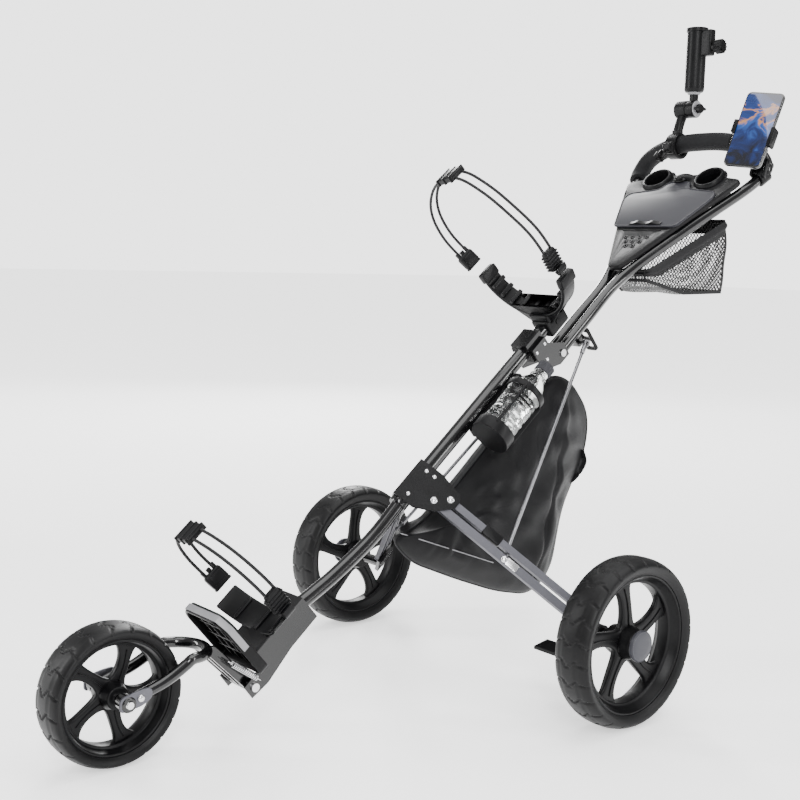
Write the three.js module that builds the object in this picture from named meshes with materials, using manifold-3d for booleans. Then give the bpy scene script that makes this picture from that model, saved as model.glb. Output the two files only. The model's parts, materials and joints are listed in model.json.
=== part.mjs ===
// A folding three-wheel golf push cart, unfolded for use, with its holders and bags.
// Millimetres, +Z up, the front wheel towards -Y, the cart's left side towards +X.
import * as THREE from "three";
import { mergeVertices } from "three/addons/utils/BufferGeometryUtils.js";
import Module from "manifold-3d";

const wasm = await Module();
wasm.setup();

// ---- driving dimensions -------------------------------------------------------------
const gap = 0.3;
const shiftY = 84;

const rearWheel = { radius: 130, width: 62, centreX: 327, hub: 26, cap: 24 };
const frontWheel = { radius: 98, width: 62, y: -680, hub: 20 };
const spokeCount = 5;
const axleRadius = 5;
const rivetRadius = 4;

const spine = { y: -135, z: 338, angle: THREE.MathUtils.degToRad(40.5) };
const upperTube = { radius: 13, bottom: -40, top: 418 };
const lowerTube = { radius: 11 };
const tubeWall = 1.6;

const legTurn = THREE.MathUtils.degToRad(45);
const pivot = { w: 43, t: -19 };
const link = { dw: 20.3, dt: 18 };
const strut = { low: 5, high: 13, lowerWidth: 14, upperWidth: 12 };
const flange = { low: 13.5, high: 16 };
const knuckle = { reach: 26, depth: 9.5, barrel: 9, barrelFrom: 247, barrelTo: 290 };
const rod = { radius: 3, share: 0.5, depth: -3 };
const eyeRoom = 0.9;

const hinge = { t: 360, u: -47 };
const crank = { dt: 54.2, du: -25.7, x: 27 };
const handle = { radius: 10, x: 12, u: -52 };
const grip = { inner: 12, outer: 17 };

const foot = { y: -368, z: 170 };
const forkPivot = { t: -140, u: -10 };
const fork = { radius: 8, x: 43, bendY: -579, bendZ: 137 };

const tray = { low: -41.5, top: -31, cupX: 60, cupT: 832, cupRadius: 27 };
const umbrella = { x: -62, y: 574, z: 924, socketX: 22, radius: 19, bore: 14.5, low: 104, top: 226 };
const phone = { width: 74, height: 150, depth: 8, x: 127, y: 555, z: 942 };
const bottle = { x: 58, u: -13, base: 124, radius: 30.5 };
const pedal = { x0: 271, x1: 285 };

// The wheel axle seen from the tube's frame: t up the tube, u towards the bag's side.
const toAxle = new THREE.Vector3(0, -spine.y, rearWheel.radius - spine.z)
  .applyAxisAngle(new THREE.Vector3(1, 0, 0), -spine.angle);
const axle = { t: toAxle.y, w: knuckle.depth - toAxle.z / Math.cos(legTurn) };
axle.x = (axle.w + knuckle.depth) * Math.cos(legTurn);
const legEnd = { w: axle.w - knuckle.reach, t: axle.t };
const leg = {
  length: Math.hypot(legEnd.w - pivot.w, legEnd.t - pivot.t),
  angle: Math.atan2(legEnd.t - pivot.t, legEnd.w - pivot.w),
};
const upperPivot = { w: pivot.w + link.dw, t: pivot.t + link.dt };

// ---- finishes ------------------------------------------------------------------------
function finish(color, roughness, metalness) {
  return new THREE.MeshStandardMaterial({ color, roughness, metalness });
}
const blackPaint = finish(0x0d0d0f, 0.28, 0.4);
const blackPlastic = finish(0x0b0b0c, 0.45, 0);
const greyPlastic = finish(0x4a4c50, 0.45, 0);
const tyreRubber = finish(0x121213, 0.6, 0);
const foam = finish(0x101011, 0.85, 0);
const greyMetal = finish(0x55565c, 0.4, 0.8);
const steel = finish(0xc9cacd, 0.25, 1);
const cloth = finish(0x111113, 0.9, 0);
const smoked = finish(0x3a3a42, 0.2, 0);
const clear = finish(0xe6ecec, 0.08, 0);
const glassBlack = finish(0x0a1a3a, 0.1, 0);

// ---- solids --------------------------------------------------------------------------
function signedVolume(geometry) {
  const place = geometry.getAttribute("position");
  const order = geometry.getIndex();
  const a = new THREE.Vector3();
  const b = new THREE.Vector3();
  const c = new THREE.Vector3();
  let volume = 0;
  for (let i = 0; i < order.count; i += 3) {
    a.fromBufferAttribute(place, order.getX(i));
    b.fromBufferAttribute(place, order.getX(i + 1));
    c.fromBufferAttribute(place, order.getX(i + 2));
    volume += a.dot(b.cross(c));
  }
  return volume;
}

// A closed solid from any closed geometry, whichever way its faces were wound.
function solid(geometry) {
  const bare = geometry.clone();
  bare.deleteAttribute("normal");
  bare.deleteAttribute("uv");
  const merged = mergeVertices(bare, 1e-3);
  const triVerts = new Uint32Array(merged.getIndex().array);
  if (signedVolume(merged) < 0) {
    for (let i = 0; i < triVerts.length; i += 3) {
      [triVerts[i], triVerts[i + 1]] = [triVerts[i + 1], triVerts[i]];
    }
  }
  const vertProperties = new Float32Array(merged.getAttribute("position").array);
  return new wasm.Manifold(new wasm.Mesh({ numProp: 3, vertProperties, triVerts }));
}

function shapeOf(body) {
  const mesh = body.getMesh();
  const geometry = new THREE.BufferGeometry();
  geometry.setAttribute("position", new THREE.BufferAttribute(new Float32Array(mesh.vertProperties), 3));
  geometry.setIndex(new THREE.BufferAttribute(new Uint32Array(mesh.triVerts), 1));
  geometry.computeVertexNormals();
  return geometry;
}

function join(...bodies) {
  return bodies.reduce((sum, body) => sum.add(body));
}

function piece(name, body, material, parent) {
  const mesh = new THREE.Mesh(shapeOf(body), material);
  mesh.name = name;
  parent.add(mesh);
  return mesh;
}

// A box between two corners.
function block(x0, x1, y0, y1, z0, z1) {
  const geometry = new THREE.BoxGeometry(x1 - x0, y1 - y0, z1 - z0);
  geometry.translate((x0 + x1) / 2, (y0 + y1) / 2, (z0 + z1) / 2);
  return solid(geometry);
}

// A straight round bar between two points.
function bar(from, to, radius, sides = 14) {
  const a = new THREE.Vector3(...from);
  const b = new THREE.Vector3(...to);
  const along = b.clone().sub(a);
  const geometry = new THREE.CylinderGeometry(radius, radius, along.length(), sides);
  geometry.applyQuaternion(new THREE.Quaternion().setFromUnitVectors(
    new THREE.Vector3(0, 1, 0), along.normalize()));
  const middle = a.add(b).multiplyScalar(0.5);
  geometry.translate(middle.x, middle.y, middle.z);
  return solid(geometry);
}

// An outline in the XY plane, raised from z0 to z1.
function plate(points, z0, z1) {
  const outline = new THREE.Shape(points.map(([x, y]) => new THREE.Vector2(x, y)));
  const geometry = new THREE.ExtrudeGeometry(outline, { depth: z1 - z0, bevelEnabled: false });
  geometry.translate(0, 0, z0);
  return solid(geometry);
}

// An outline given in the YZ plane, spread from x0 to x1.
function sidePlate(points, x0, x1) {
  const outline = new THREE.Shape(points.map(([y, z]) => new THREE.Vector2(y, z)));
  const geometry = new THREE.ExtrudeGeometry(outline, { depth: x1 - x0, bevelEnabled: false });
  geometry.applyMatrix4(new THREE.Matrix4().makeBasis(
    new THREE.Vector3(0, 1, 0), new THREE.Vector3(0, 0, 1), new THREE.Vector3(1, 0, 0)));
  geometry.translate(x0, 0, 0);
  return solid(geometry);
}

// An outline given in the XZ plane, spread from y0 to y1.
function crossPlate(outline, y0, y1, segments = 12) {
  const geometry = new THREE.ExtrudeGeometry(
    outline, { depth: y1 - y0, bevelEnabled: false, curveSegments: segments });
  geometry.rotateX(Math.PI / 2);
  geometry.translate(0, y1, 0);
  return solid(geometry);
}

function roundSection(radius, sides) {
  const outline = new THREE.Shape();
  for (let i = 0; i < sides; i += 1) {
    const turn = (2 * Math.PI * i) / sides;
    const x = radius * Math.cos(turn);
    const y = radius * Math.sin(turn);
    if (i === 0) outline.moveTo(x, y);
    else outline.lineTo(x, y);
  }
  outline.closePath();
  return outline;
}

// A round tube along a smooth curve through the points; bore makes it hollow.
function bentTube(points, radius, steps, { sides = 12, bore = 0 } = {}) {
  const curve = new THREE.CatmullRomCurve3(points.map((p) => new THREE.Vector3(...p)), false, "centripetal");
  const outline = roundSection(radius, sides);
  if (bore > 0) outline.holes.push(roundSection(bore, sides));
  return solid(new THREE.ExtrudeGeometry(outline, { steps, extrudePath: curve, bevelEnabled: false }));
}

// A body of revolution about X from [radius, x] pairs that close on themselves.
function turned(profile, segments) {
  const points = [...profile, profile[0]].map(([radius, x]) => new THREE.Vector2(radius, x));
  const geometry = new THREE.LatheGeometry(points, segments);
  geometry.rotateZ(-Math.PI / 2);
  return solid(geometry);
}

// ---- frames --------------------------------------------------------------------------
const cart = new THREE.Group();
cart.position.y = shiftY;

// Along the main tube: x across, y up the tube, z square to it on the bag's side.
function tubeFrame(y, z) {
  const frame = new THREE.Group();
  frame.rotation.x = spine.angle;
  frame.position.set(0, y, z);
  cart.add(frame);
  return frame;
}
const tubeGroup = tubeFrame(spine.y, spine.z);
const footGroup = tubeFrame(foot.y, foot.z);

// The bent lower tube's foot end, which the foot bracket holds.
const lowerBend = [[0, -287, 23], [0, -250, 14.5], [0, -212, 7]];

// ---- wheels --------------------------------------------------------------------------
function addWheel(prefix, size, x, y, parent) {
  const half = size.width / 2;
  const seat = size.radius * 0.82;
  const shoulder = size.radius * 0.985;
  const corner = size.radius * 0.93;
  const inside = size.radius * 0.7;
  const lipX = half * 0.78;
  const facets = 36;
  const wheel = new THREE.Group();
  wheel.position.set(x, y, size.radius);
  parent.add(wheel);
  const tyre = turned([
    [seat, -half * 0.82], [corner, -half], [shoulder, -half * 0.55], [size.radius, 0],
    [shoulder, half * 0.55], [corner, half], [seat, half * 0.82],
  ], facets);
  piece(`${prefix}_tyre`, tyre, tyreRubber, wheel);
  const ring = turned([
    [inside, -6], [inside + 4, -lipX], [seat - gap, -lipX],
    [seat - gap, lipX], [inside + 4, lipX], [inside, 6],
  ], facets);
  let rim = ring.add(bar([-half * 0.8, 0, 0], [half * 0.8, 0, 0], size.hub, 20));
  const root = size.hub * 0.6;
  for (let i = 0; i < spokeCount; i += 1) {
    const spoke = new THREE.BoxGeometry(14, size.radius * 0.22, inside + 2 - root);
    spoke.translate(0, 0, (inside + 2 + root) / 2);
    spoke.rotateX((2 * Math.PI * i) / spokeCount);
    rim = rim.add(solid(spoke));
  }
  rim = rim.subtract(bar([-half, 0, 0], [half, 0, 0], axleRadius + gap));
  piece(`${prefix}_rim`, rim, blackPlastic, wheel);
  return wheel;
}

// ---- main tube and its brackets --------------------------------------------------------
function addMainTube() {
  const upper = bentTube(
    [[0, upperTube.bottom, 0], [0, 160, 0], [0, upperTube.top, 0]], upperTube.radius, 2,
    { sides: 24, bore: upperTube.radius - tubeWall });
  piece("main_tube_upper", upper, blackPaint, tubeGroup);
  const lower = bentTube([...lowerBend, [0, -128, -3], [0, -70, -2], [0, -41, 0]], lowerTube.radius, 9,
    { sides: 14, bore: lowerTube.radius - tubeWall });
  piece("main_tube_lower", lower, blackPaint, tubeGroup);
}

// The leg frame: x out along the leg, y up the tube, z out through the flange.
function legFrame(side, parent) {
  const frame = new THREE.Group();
  frame.rotation.y = side > 0 ? legTurn : Math.PI - legTurn;
  parent.add(frame);
  return frame;
}

// A span of z in the leg frame, mirrored on the right side.
function spread(side, low, high) {
  return side > 0 ? [low, high] : [-high, -low];
}

function flangePlate(side) {
  const outline = [
    [-14.8, 26], [28, 26], [70, 15], [77, 6], [77, -8], [54, -34], [22, -50], [-14.8, -50],
  ];
  const [z0, z1] = spread(side, flange.low, flange.high);
  const drill = ({ w, t }) => bar([w, t, z0 - 2], [w, t, z1 + 2], rivetRadius + gap);
  const sheet = plate(outline, z0, z1).subtract(drill(pivot)).subtract(drill(upperPivot));
  return sheet.rotate([0, side > 0 ? 45 : 135, 0]);
}

function addMidBracket() {
  piece("mid_bracket", flangePlate(1).add(flangePlate(-1)), blackPaint, tubeGroup);
}

// ---- legs ------------------------------------------------------------------------------
function rotated(body, angle, w, t) {
  return body.rotate([0, 0, THREE.MathUtils.radToDeg(angle)]).translate([w, t, 0]);
}

// A strut of grooved bar with round ends, drilled at both.
function strutBar(side, width) {
  const [z0, z1] = spread(side, strut.low, strut.high);
  const half = width / 2;
  const ends = join(
    block(0, leg.length, -half, half, z0, z1),
    bar([0, 0, z0], [0, 0, z1], half + 1),
    bar([leg.length, 0, z0], [leg.length, 0, z1], half + 1));
  const open = side > 0 ? [z0 - 1, z0 + 5] : [z1 - 5, z1 + 1];
  const channel = block(16, leg.length - 16, -half + 2, half - 2, ...open);
  const drill = (w) => bar([w, 0, z0 - 1], [w, 0, z1 + 1], rivetRadius + gap);
  return ends.subtract(channel).subtract(drill(0)).subtract(drill(leg.length));
}

// Two shouldered rivets on one backing strap, behind the struts.
function rivetPair(side) {
  const s = side > 0 ? 1 : -1;
  const rivets = [pivot, upperPivot].map(({ w, t }) => join(
    bar([w, t, s * (strut.low - 2)], [w, t, s * (flange.high + 1)], rivetRadius),
    bar([w, t, s * (flange.high + gap)], [w, t, s * (flange.high + 3)], 6.5),
    bar([w, t, s * (strut.low - 3)], [w, t, s * (strut.low - gap)], 6)));
  const [z0, z1] = spread(side, strut.low - 3, strut.low - 1);
  const strap = rotated(block(0, Math.hypot(link.dw, link.dt), -5, 5, z0, z1),
    Math.atan2(link.dt, link.dw), pivot.w, pivot.t);
  return join(...rivets, strap);
}

// The casting at the leg's end that keeps the wheel's axle level across the cart.
function axleKnuckle(side) {
  const s = side > 0 ? 1 : -1;
  const { w, t } = legEnd;
  const [z0, z1] = spread(side, -3, strut.low - 2 * gap);
  const web = plate([
    [w - 12, t - 12], [axle.w + 10, t - 12], [axle.w + 12, t + 10],
    [w + link.dw + 8, t + link.dt + 10], [w + 4, t + link.dt + 10], [w - 12, t + 10],
  ], z0, z1);
  const onAxle = (x) => [
    axle.w + (x - axle.x) * Math.SQRT1_2, t, s * (knuckle.depth + (x - axle.x) * Math.SQRT1_2)];
  return join(
    web,
    bar([w, t, s * 2], [w, t, s * 15], rivetRadius),
    bar([w + link.dw, t + link.dt, s * 2], [w + link.dw, t + link.dt, s * 15], rivetRadius),
    bar(onAxle(knuckle.barrelFrom), onAxle(knuckle.barrelTo), knuckle.barrel),
    bar(onAxle(knuckle.barrelTo - 12), onAxle(rearWheel.centreX + 23), axleRadius));
}

function addLeg(side) {
  const word = side > 0 ? "left" : "right";
  const frame = legFrame(side, tubeGroup);
  piece(`${word}_leg_rivets`, rivetPair(side), steel, frame);
  const lower = rotated(strutBar(side, strut.lowerWidth), leg.angle, pivot.w, pivot.t);
  piece(`${word}_lower_strut`, lower, greyMetal, frame);
  const upper = rotated(strutBar(side, strut.upperWidth), leg.angle, upperPivot.w, upperPivot.t);
  piece(`${word}_upper_strut`, upper, greyMetal, frame);
  piece(`${word}_axle_knuckle`, axleKnuckle(side), blackPaint, frame);

  const wheel = addWheel(`${word}_wheel`, rearWheel, side * rearWheel.centreX, 0, cart);
  const face = side * (rearWheel.width / 2 * 0.8 + gap);
  const cap = bar([face, 0, 0], [face + side * 9, 0, 0], rearWheel.cap, 24);
  piece(`${word}_wheel_hub_cap`, cap, greyPlastic, wheel);
}

// The push rod's two ends in the tube's frame: the handle's crank, and beside the lower strut.
function rodEnds(side) {
  const w = pivot.w + leg.length * rod.share * Math.cos(leg.angle);
  const t = pivot.t + leg.length * rod.share * Math.sin(leg.angle);
  return {
    top: [side * crank.x, hinge.t + crank.dt, hinge.u + crank.du],
    bottom: [side * Math.SQRT1_2 * (w + rod.depth), t, Math.SQRT1_2 * (rod.depth - w)],
  };
}

function addRod(side) {
  const word = side > 0 ? "left" : "right";
  const { top, bottom } = rodEnds(side);
  const [x, t, u] = top;
  const eye = bar([x - 4, t, u], [x + 4, t, u], 7);
  const body = join(bar(top, bottom, rod.radius, 10), eye)
    .subtract(bar([x - 6, t, u], [x + 6, t, u], rod.radius + eyeRoom));
  piece(`${word}_push_rod`, body, steel, tubeGroup);
}

// ---- top bracket, cradle and handle ------------------------------------------------------
function addCollar() {
  const ears = [[306, -10], [306, -40], [345, -60], [372, -60], [374, -36], [345, -10]];
  let collar = join(
    block(-18.5, 18.5, 303, 345, -18, 18),
    block(-25.3, -18, 306, 343, -18, 6),
    block(18, 25.3, 306, 343, -18, 6),
    sidePlate(ears, 22.8, 25.3),
    sidePlate(ears, -25.3, -22.8));
  collar = collar.subtract(bar([0, 290, 0], [0, 360, 0], upperTube.radius + gap, 24));
  collar = collar.subtract(bar([-30, hinge.t, hinge.u], [30, hinge.t, hinge.u], 4 + gap));
  piece("top_bracket", collar, blackPaint, tubeGroup);
  const pin = join(
    bar([-27, hinge.t, hinge.u], [27, hinge.t, hinge.u], 4),
    bar([25.6, hinge.t, hinge.u], [28.5, hinge.t, hinge.u], 6.5),
    bar([-28.5, hinge.t, hinge.u], [-25.6, hinge.t, hinge.u], 6.5));
  piece("handle_pivot", pin, steel, tubeGroup);
}

// A band that cups the bag: an arc of the given radius with rest lugs at its two ends.
function bandOutline(radius, thickness, centreU, halfTurn) {
  const outline = new THREE.Shape();
  const bottom = -Math.PI / 2;
  outline.absarc(0, centreU, radius + thickness, bottom - halfTurn, bottom + halfTurn, false);
  outline.absarc(0, centreU, radius, bottom + halfTurn, bottom - halfTurn, true);
  outline.closePath();
  return outline;
}

function addUpperCradle() {
  const t0 = 372;
  const t1 = 408;
  const band = { radius: 86, thickness: 7, centreU: 113, halfTurn: 1.42 };
  let body = crossPlate(
    bandOutline(band.radius, band.thickness, band.centreU, band.halfTurn), t0, t1, 14);
  for (const turn of [-0.95, -0.45, 0.1, 0.55, 1.0]) {
    const ridge = new THREE.BoxGeometry(9, t1 - t0 - 4, 14);
    ridge.rotateY(-turn);
    ridge.translate(
      (band.radius - 2) * Math.sin(turn), (t0 + t1) / 2,
      band.centreU - (band.radius - 2) * Math.cos(turn));
    body = body.add(solid(ridge));
  }
  const rib = [[-60, 46], [-20, 14], [20, 14], [60, 46], [0, 24]];
  const ribShape = new THREE.Shape(rib.map(([x, u]) => new THREE.Vector2(x, u)));
  body = join(
    body,
    sidePlate([[366, 10], [414, 10], [412, 30], [368, 30]], -22, 22),
    block(-19, 19, 364, 416, -15, 14),
    crossPlate(ribShape, 386, 394));
  body = body.subtract(bar([0, 350, 0], [0, 430, 0], upperTube.radius + gap, 24));
  piece("upper_cradle", body, blackPlastic, tubeGroup);
}

// A bungee bow over the bag: two cords side by side, held by a buckle, a hook and a slider.
function addBow(word, path, buckle, hook, slider, t, group) {
  const offset = 9;
  const [startX, startU] = path[0];
  const ladder = (radius) => join(
    ...[-offset, offset].map((dt) => bentTube(
      path.map(([x, u]) => [x, t + dt, u]), radius, 22, { sides: 6 })),
    bar([startX, t - offset, startU + 3], [startX, t + offset, startU + 3], radius, 6));
  const room = ladder(2.5 + gap);
  const cut = (body) => body.subtract(room);
  piece(`${word}_bow_cords`, ladder(2.5), cloth, group);
  const place = (body, spot) => body.rotate([0, spot.turn, 0]).translate([spot.x, t, spot.u]);
  piece(`${word}_buckle`, cut(place(block(-6, 6, -16, 16, -17, 17), buckle)), blackPlastic, group);
  piece(`${word}_hook`, cut(place(block(-7, 7, -15, 15, -20, 20), hook)), blackPlastic, group);
  const bridge = join(block(-5, 5, -17, 17, -22, 22), block(-8, 8, -19, -15, -6, 6));
  piece(`${word}_slider`, cut(place(bridge, slider)), blackPlastic, group);
}

// The handle's centre line, from the left tube's lower end round the bow to the right one's.
function handleLoop() {
  const side = [
    [handle.x, 346, handle.u], [handle.x, 450, handle.u], [handle.x, 545, handle.u],
    [26, 600, handle.u], [80, 722, -53], [136, 850, -57], [146, 886, -52], [130, 908, -36],
    [70, 920, -15],
  ];
  return [...side, [0, 923, -10], ...side.slice().reverse().map(([x, t, u]) => [-x, t, u])];
}

// Points on that line between two fractions of its length parameter.
function handleStretch(from, to, count) {
  const curve = new THREE.CatmullRomCurve3(
    handleLoop().map((p) => new THREE.Vector3(...p)), false, "centripetal");
  const points = [];
  for (let i = 0; i <= count; i += 1) {
    points.push(curve.getPoint(from + (to - from) * (i / count)).toArray());
  }
  return points;
}

function addHandle() {
  const loop = handleLoop();
  const outside = bentTube(loop, handle.radius, 72, { sides: 8 });
  const [firstX, , firstU] = loop[0];
  const [lastX, , lastU] = loop[loop.length - 1];
  const longer = [[firstX, 330, firstU], ...loop, [lastX, 330, lastU]];
  const bore = bentTube(longer, handle.radius - tubeWall, 76, { sides: 6 });
  const crankT = hinge.t + crank.dt;
  const crankU = hinge.u + crank.du;
  const lug = sidePlate(
    [[crankT - 9, handle.u], [crankT + 9, handle.u], [crankT + 7, crankU - 6], [crankT - 7, crankU - 6]],
    -16, 16);
  const studs = bar([-32, crankT, crankU], [32, crankT, crankU], 3);
  const tube = join(outside, lug, studs).subtract(bore)
    .subtract(bar([-40, hinge.t, hinge.u], [40, hinge.t, hinge.u], 4 + gap));
  piece("handle_tube", tube, blackPaint, tubeGroup);
  const stretch = handleStretch(0.445, 0.7, 30);
  piece("foam_grip", bentTube(stretch, grip.outer, 22, { sides: 10, bore: grip.inner }), foam, tubeGroup);
}

function addUpperBow() {
  const path = [
    [-112, 122], [-128, 150], [-141, 185], [-140, 228], [-120, 268], [-75, 305], [-24, 312],
    [14, 285], [48, 240], [72, 195], [80, 150], [80, 122],
  ];
  addBow("upper", path, { x: -122, u: 136, turn: -28 }, { x: 80, u: 140, turn: 0 },
    { x: -50, u: 312, turn: 78 }, 390, tubeGroup);
}

// ---- foot of the cart ------------------------------------------------------------------
function addFoot() {
  const cheek = [
    [0, -16], [0, 27], [-104, 27], [-108, 4], [-152, 3], [-153, -20], [-120, -24], [-60, -16],
  ];
  let bracket = join(
    sidePlate(cheek, 30, 33), sidePlate(cheek, -33, -30),
    block(-31, 31, -60, 0, -16, -12.5), block(-31, 31, -104, 0, 24, 27),
    block(-31, 31, -62, -2, -13, 25));
  const bore = bentTube(
    [[0, -350, 34], ...lowerBend], lowerTube.radius + 1, 5, { sides: 14 });
  const toFoot = new THREE.Vector3(0, spine.y - foot.y, spine.z - foot.z)
    .applyAxisAngle(new THREE.Vector3(1, 0, 0), -spine.angle);
  bracket = bracket.subtract(bore.translate([0, toFoot.y, toFoot.z]));
  const pinAt = [forkPivot.t, forkPivot.u];
  bracket = bracket.subtract(bar([-40, ...pinAt], [40, ...pinAt], 4 + gap));
  piece("foot_bracket", bracket, blackPaint, footGroup);
  const pin = join(bar([-36, ...pinAt], [36, ...pinAt], 4),
    bar([33.4, ...pinAt], [36.5, ...pinAt], 6.5), bar([-36.5, ...pinAt], [-33.4, ...pinAt], 6.5));
  piece("fork_pivot_pin", pin, steel, footGroup);

  const cradle = join(
    crossPlate(bandOutline(105, 4, 136, 0.78), -78, -34, 10),
    block(-34, 34, -106, -70, 27 + gap, 31.5));
  piece("base_cradle", cradle, blackPlastic, footGroup);

  const trayOutline = [[-40, 122], [-54, 104], [-54, 8], [54, 8], [54, 104], [40, 122]];
  const inner = [[-36, 117], [-50, 101], [-50, 12], [50, 12], [50, 101], [36, 117]];
  const upright = (points, t0, t1) => crossPlate(
    new THREE.Shape(points.map(([x, u]) => new THREE.Vector2(x, u))), t0, t1);
  const tray = upright(trayOutline, -126, -109).subtract(upright(inner, -127, -112));
  piece("foot_tray", tray, blackPlastic, footGroup);

  const path = [
    [-84, 82], [-98, 104], [-106, 132], [-98, 165], [-68, 195], [-22, 204],
    [20, 188], [52, 158], [72, 120], [76, 84],
  ];
  addBow("lower", path, { x: -87, u: 90, turn: -28 }, { x: 76, u: 92, turn: 0 },
    { x: -40, u: 201, turn: 82 }, -46, footGroup);

  const springTop = [38.5, -145, 60];
  const springEnd = [38.5, -128, -6];
  piece("fork_spring", bar(springTop, springEnd, 5, 12), steel, footGroup);
}

function addFork() {
  const { x, bendY, bendZ } = fork;
  const apexY = bendY + x;
  const hubY = frontWheel.y;
  const hubZ = frontWheel.radius;
  const arm = [[x, hubY + 6, hubZ + 1], [x, hubY + 60, 115], [x, bendY - 8, bendZ - 5]];
  const bow = [...arm];
  const bends = 6;
  for (let i = 0; i <= bends; i += 1) {
    const turn = (Math.PI * i) / bends;
    bow.push([x * Math.cos(turn), bendY + x * Math.sin(turn), bendZ]);
  }
  bow.push(...arm.reverse().map(([px, py, pz]) => [-px, py, pz]));
  const pivotY = foot.y + forkPivot.t * Math.cos(spine.angle) - forkPivot.u * Math.sin(spine.angle);
  const pivotZ = foot.z + forkPivot.t * Math.sin(spine.angle) + forkPivot.u * Math.cos(spine.angle);
  const web = [
    [apexY - 2, bendZ + 5], [apexY + 6, bendZ + 5], [pivotY + 7, pivotZ + 6],
    [pivotY - 4, pivotZ - 8], [apexY - 5, bendZ - 6],
  ];
  const lug = (s) => bar([s * 35, hubY, hubZ], [s * 56, hubY, hubZ], 11);
  const body = join(
    bentTube(bow, fork.radius, 30, { sides: 10 }), sidePlate(web, -24, 24),
    bar([-29.5, pivotY, pivotZ], [29.5, pivotY, pivotZ], 9), lug(1), lug(-1))
    .subtract(bar([-60, hubY, hubZ], [60, hubY, hubZ], axleRadius + gap))
    .subtract(bar([-40, pivotY, pivotZ], [40, pivotY, pivotZ], rivetRadius + gap));
  piece("fork", body, blackPaint, cart);
  piece("front_axle", bar([-58, hubY, hubZ], [58, hubY, hubZ], axleRadius), steel, cart);
  addWheel("front_wheel", frontWheel, 0, hubY, cart);
}

// ---- on the handle ------------------------------------------------------------------------
function addConsole() {
  const { low, top, cupX, cupT, cupRadius } = tray;
  const body = plate([
    [-12, 572], [12, 572], [128, 816], [128, 830], [88, 836], [84, 858], [36, 858], [30, 846],
    [-30, 846], [-36, 858], [-84, 858], [-88, 836], [-128, 830], [-128, 816],
  ], low, top);
  const cup = (s, t, u0, u1, radius) => bar([s * cupX, t, u0], [s * cupX, t, u1], radius, 28);
  const bin = plate(
    [[-66, 694], [66, 694], [96, 770], [30, 812], [-30, 812], [-96, 770]], low + 3, top + 11);
  const shell = join(body, cup(1, cupT, -78, -24, cupRadius), cup(-1, cupT, -78, -24, cupRadius))
    .subtract(cup(1, cupT, -75, -10, cupRadius - 4))
    .subtract(cup(-1, cupT, -75, -10, cupRadius - 4))
    .subtract(bin);
  piece("console", shell, blackPlastic, tubeGroup);
  const lid = plate([
    [-72, 686], [72, 686], [106, 772], [98, 790], [34, 800], [26, 822],
    [-26, 822], [-34, 800], [-98, 790], [-106, 772],
  ], top + gap, top + 3.5);
  piece("scorecard_lid", lid, smoked, tubeGroup);
  const onLid = top + 3.5 + gap;
  piece("lid_latch", block(-13, 13, 816, 828, onLid, top + 12), blackPlastic, tubeGroup);
  piece("pencil_clip", block(-36, 36, 690, 698, onLid, top + 9), blackPlastic, tubeGroup);
}

// A net pocket under the console, open at its top, widening towards the rear.
function addMeshBag() {
  const wall = 3;
  const side = [[374, 683], [374, 662], [440, 640], [513, 644], [516, 780]];
  const inner = [[377, 700], [377, 664.5], [440, 643], [510, 647], [513, 800]];
  const plan = (cut) => plate(
    [[-34 + cut, 360], [34 - cut, 360], [108 - cut, 520], [-108 + cut, 520]], 600, 840);
  const outside = sidePlate(side, -120, 120).intersect(plan(0));
  const inside = sidePlate(inner, -120, 120).intersect(plan(wall));
  piece("mesh_bag", outside.subtract(inside), cloth, cart);
}

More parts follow.
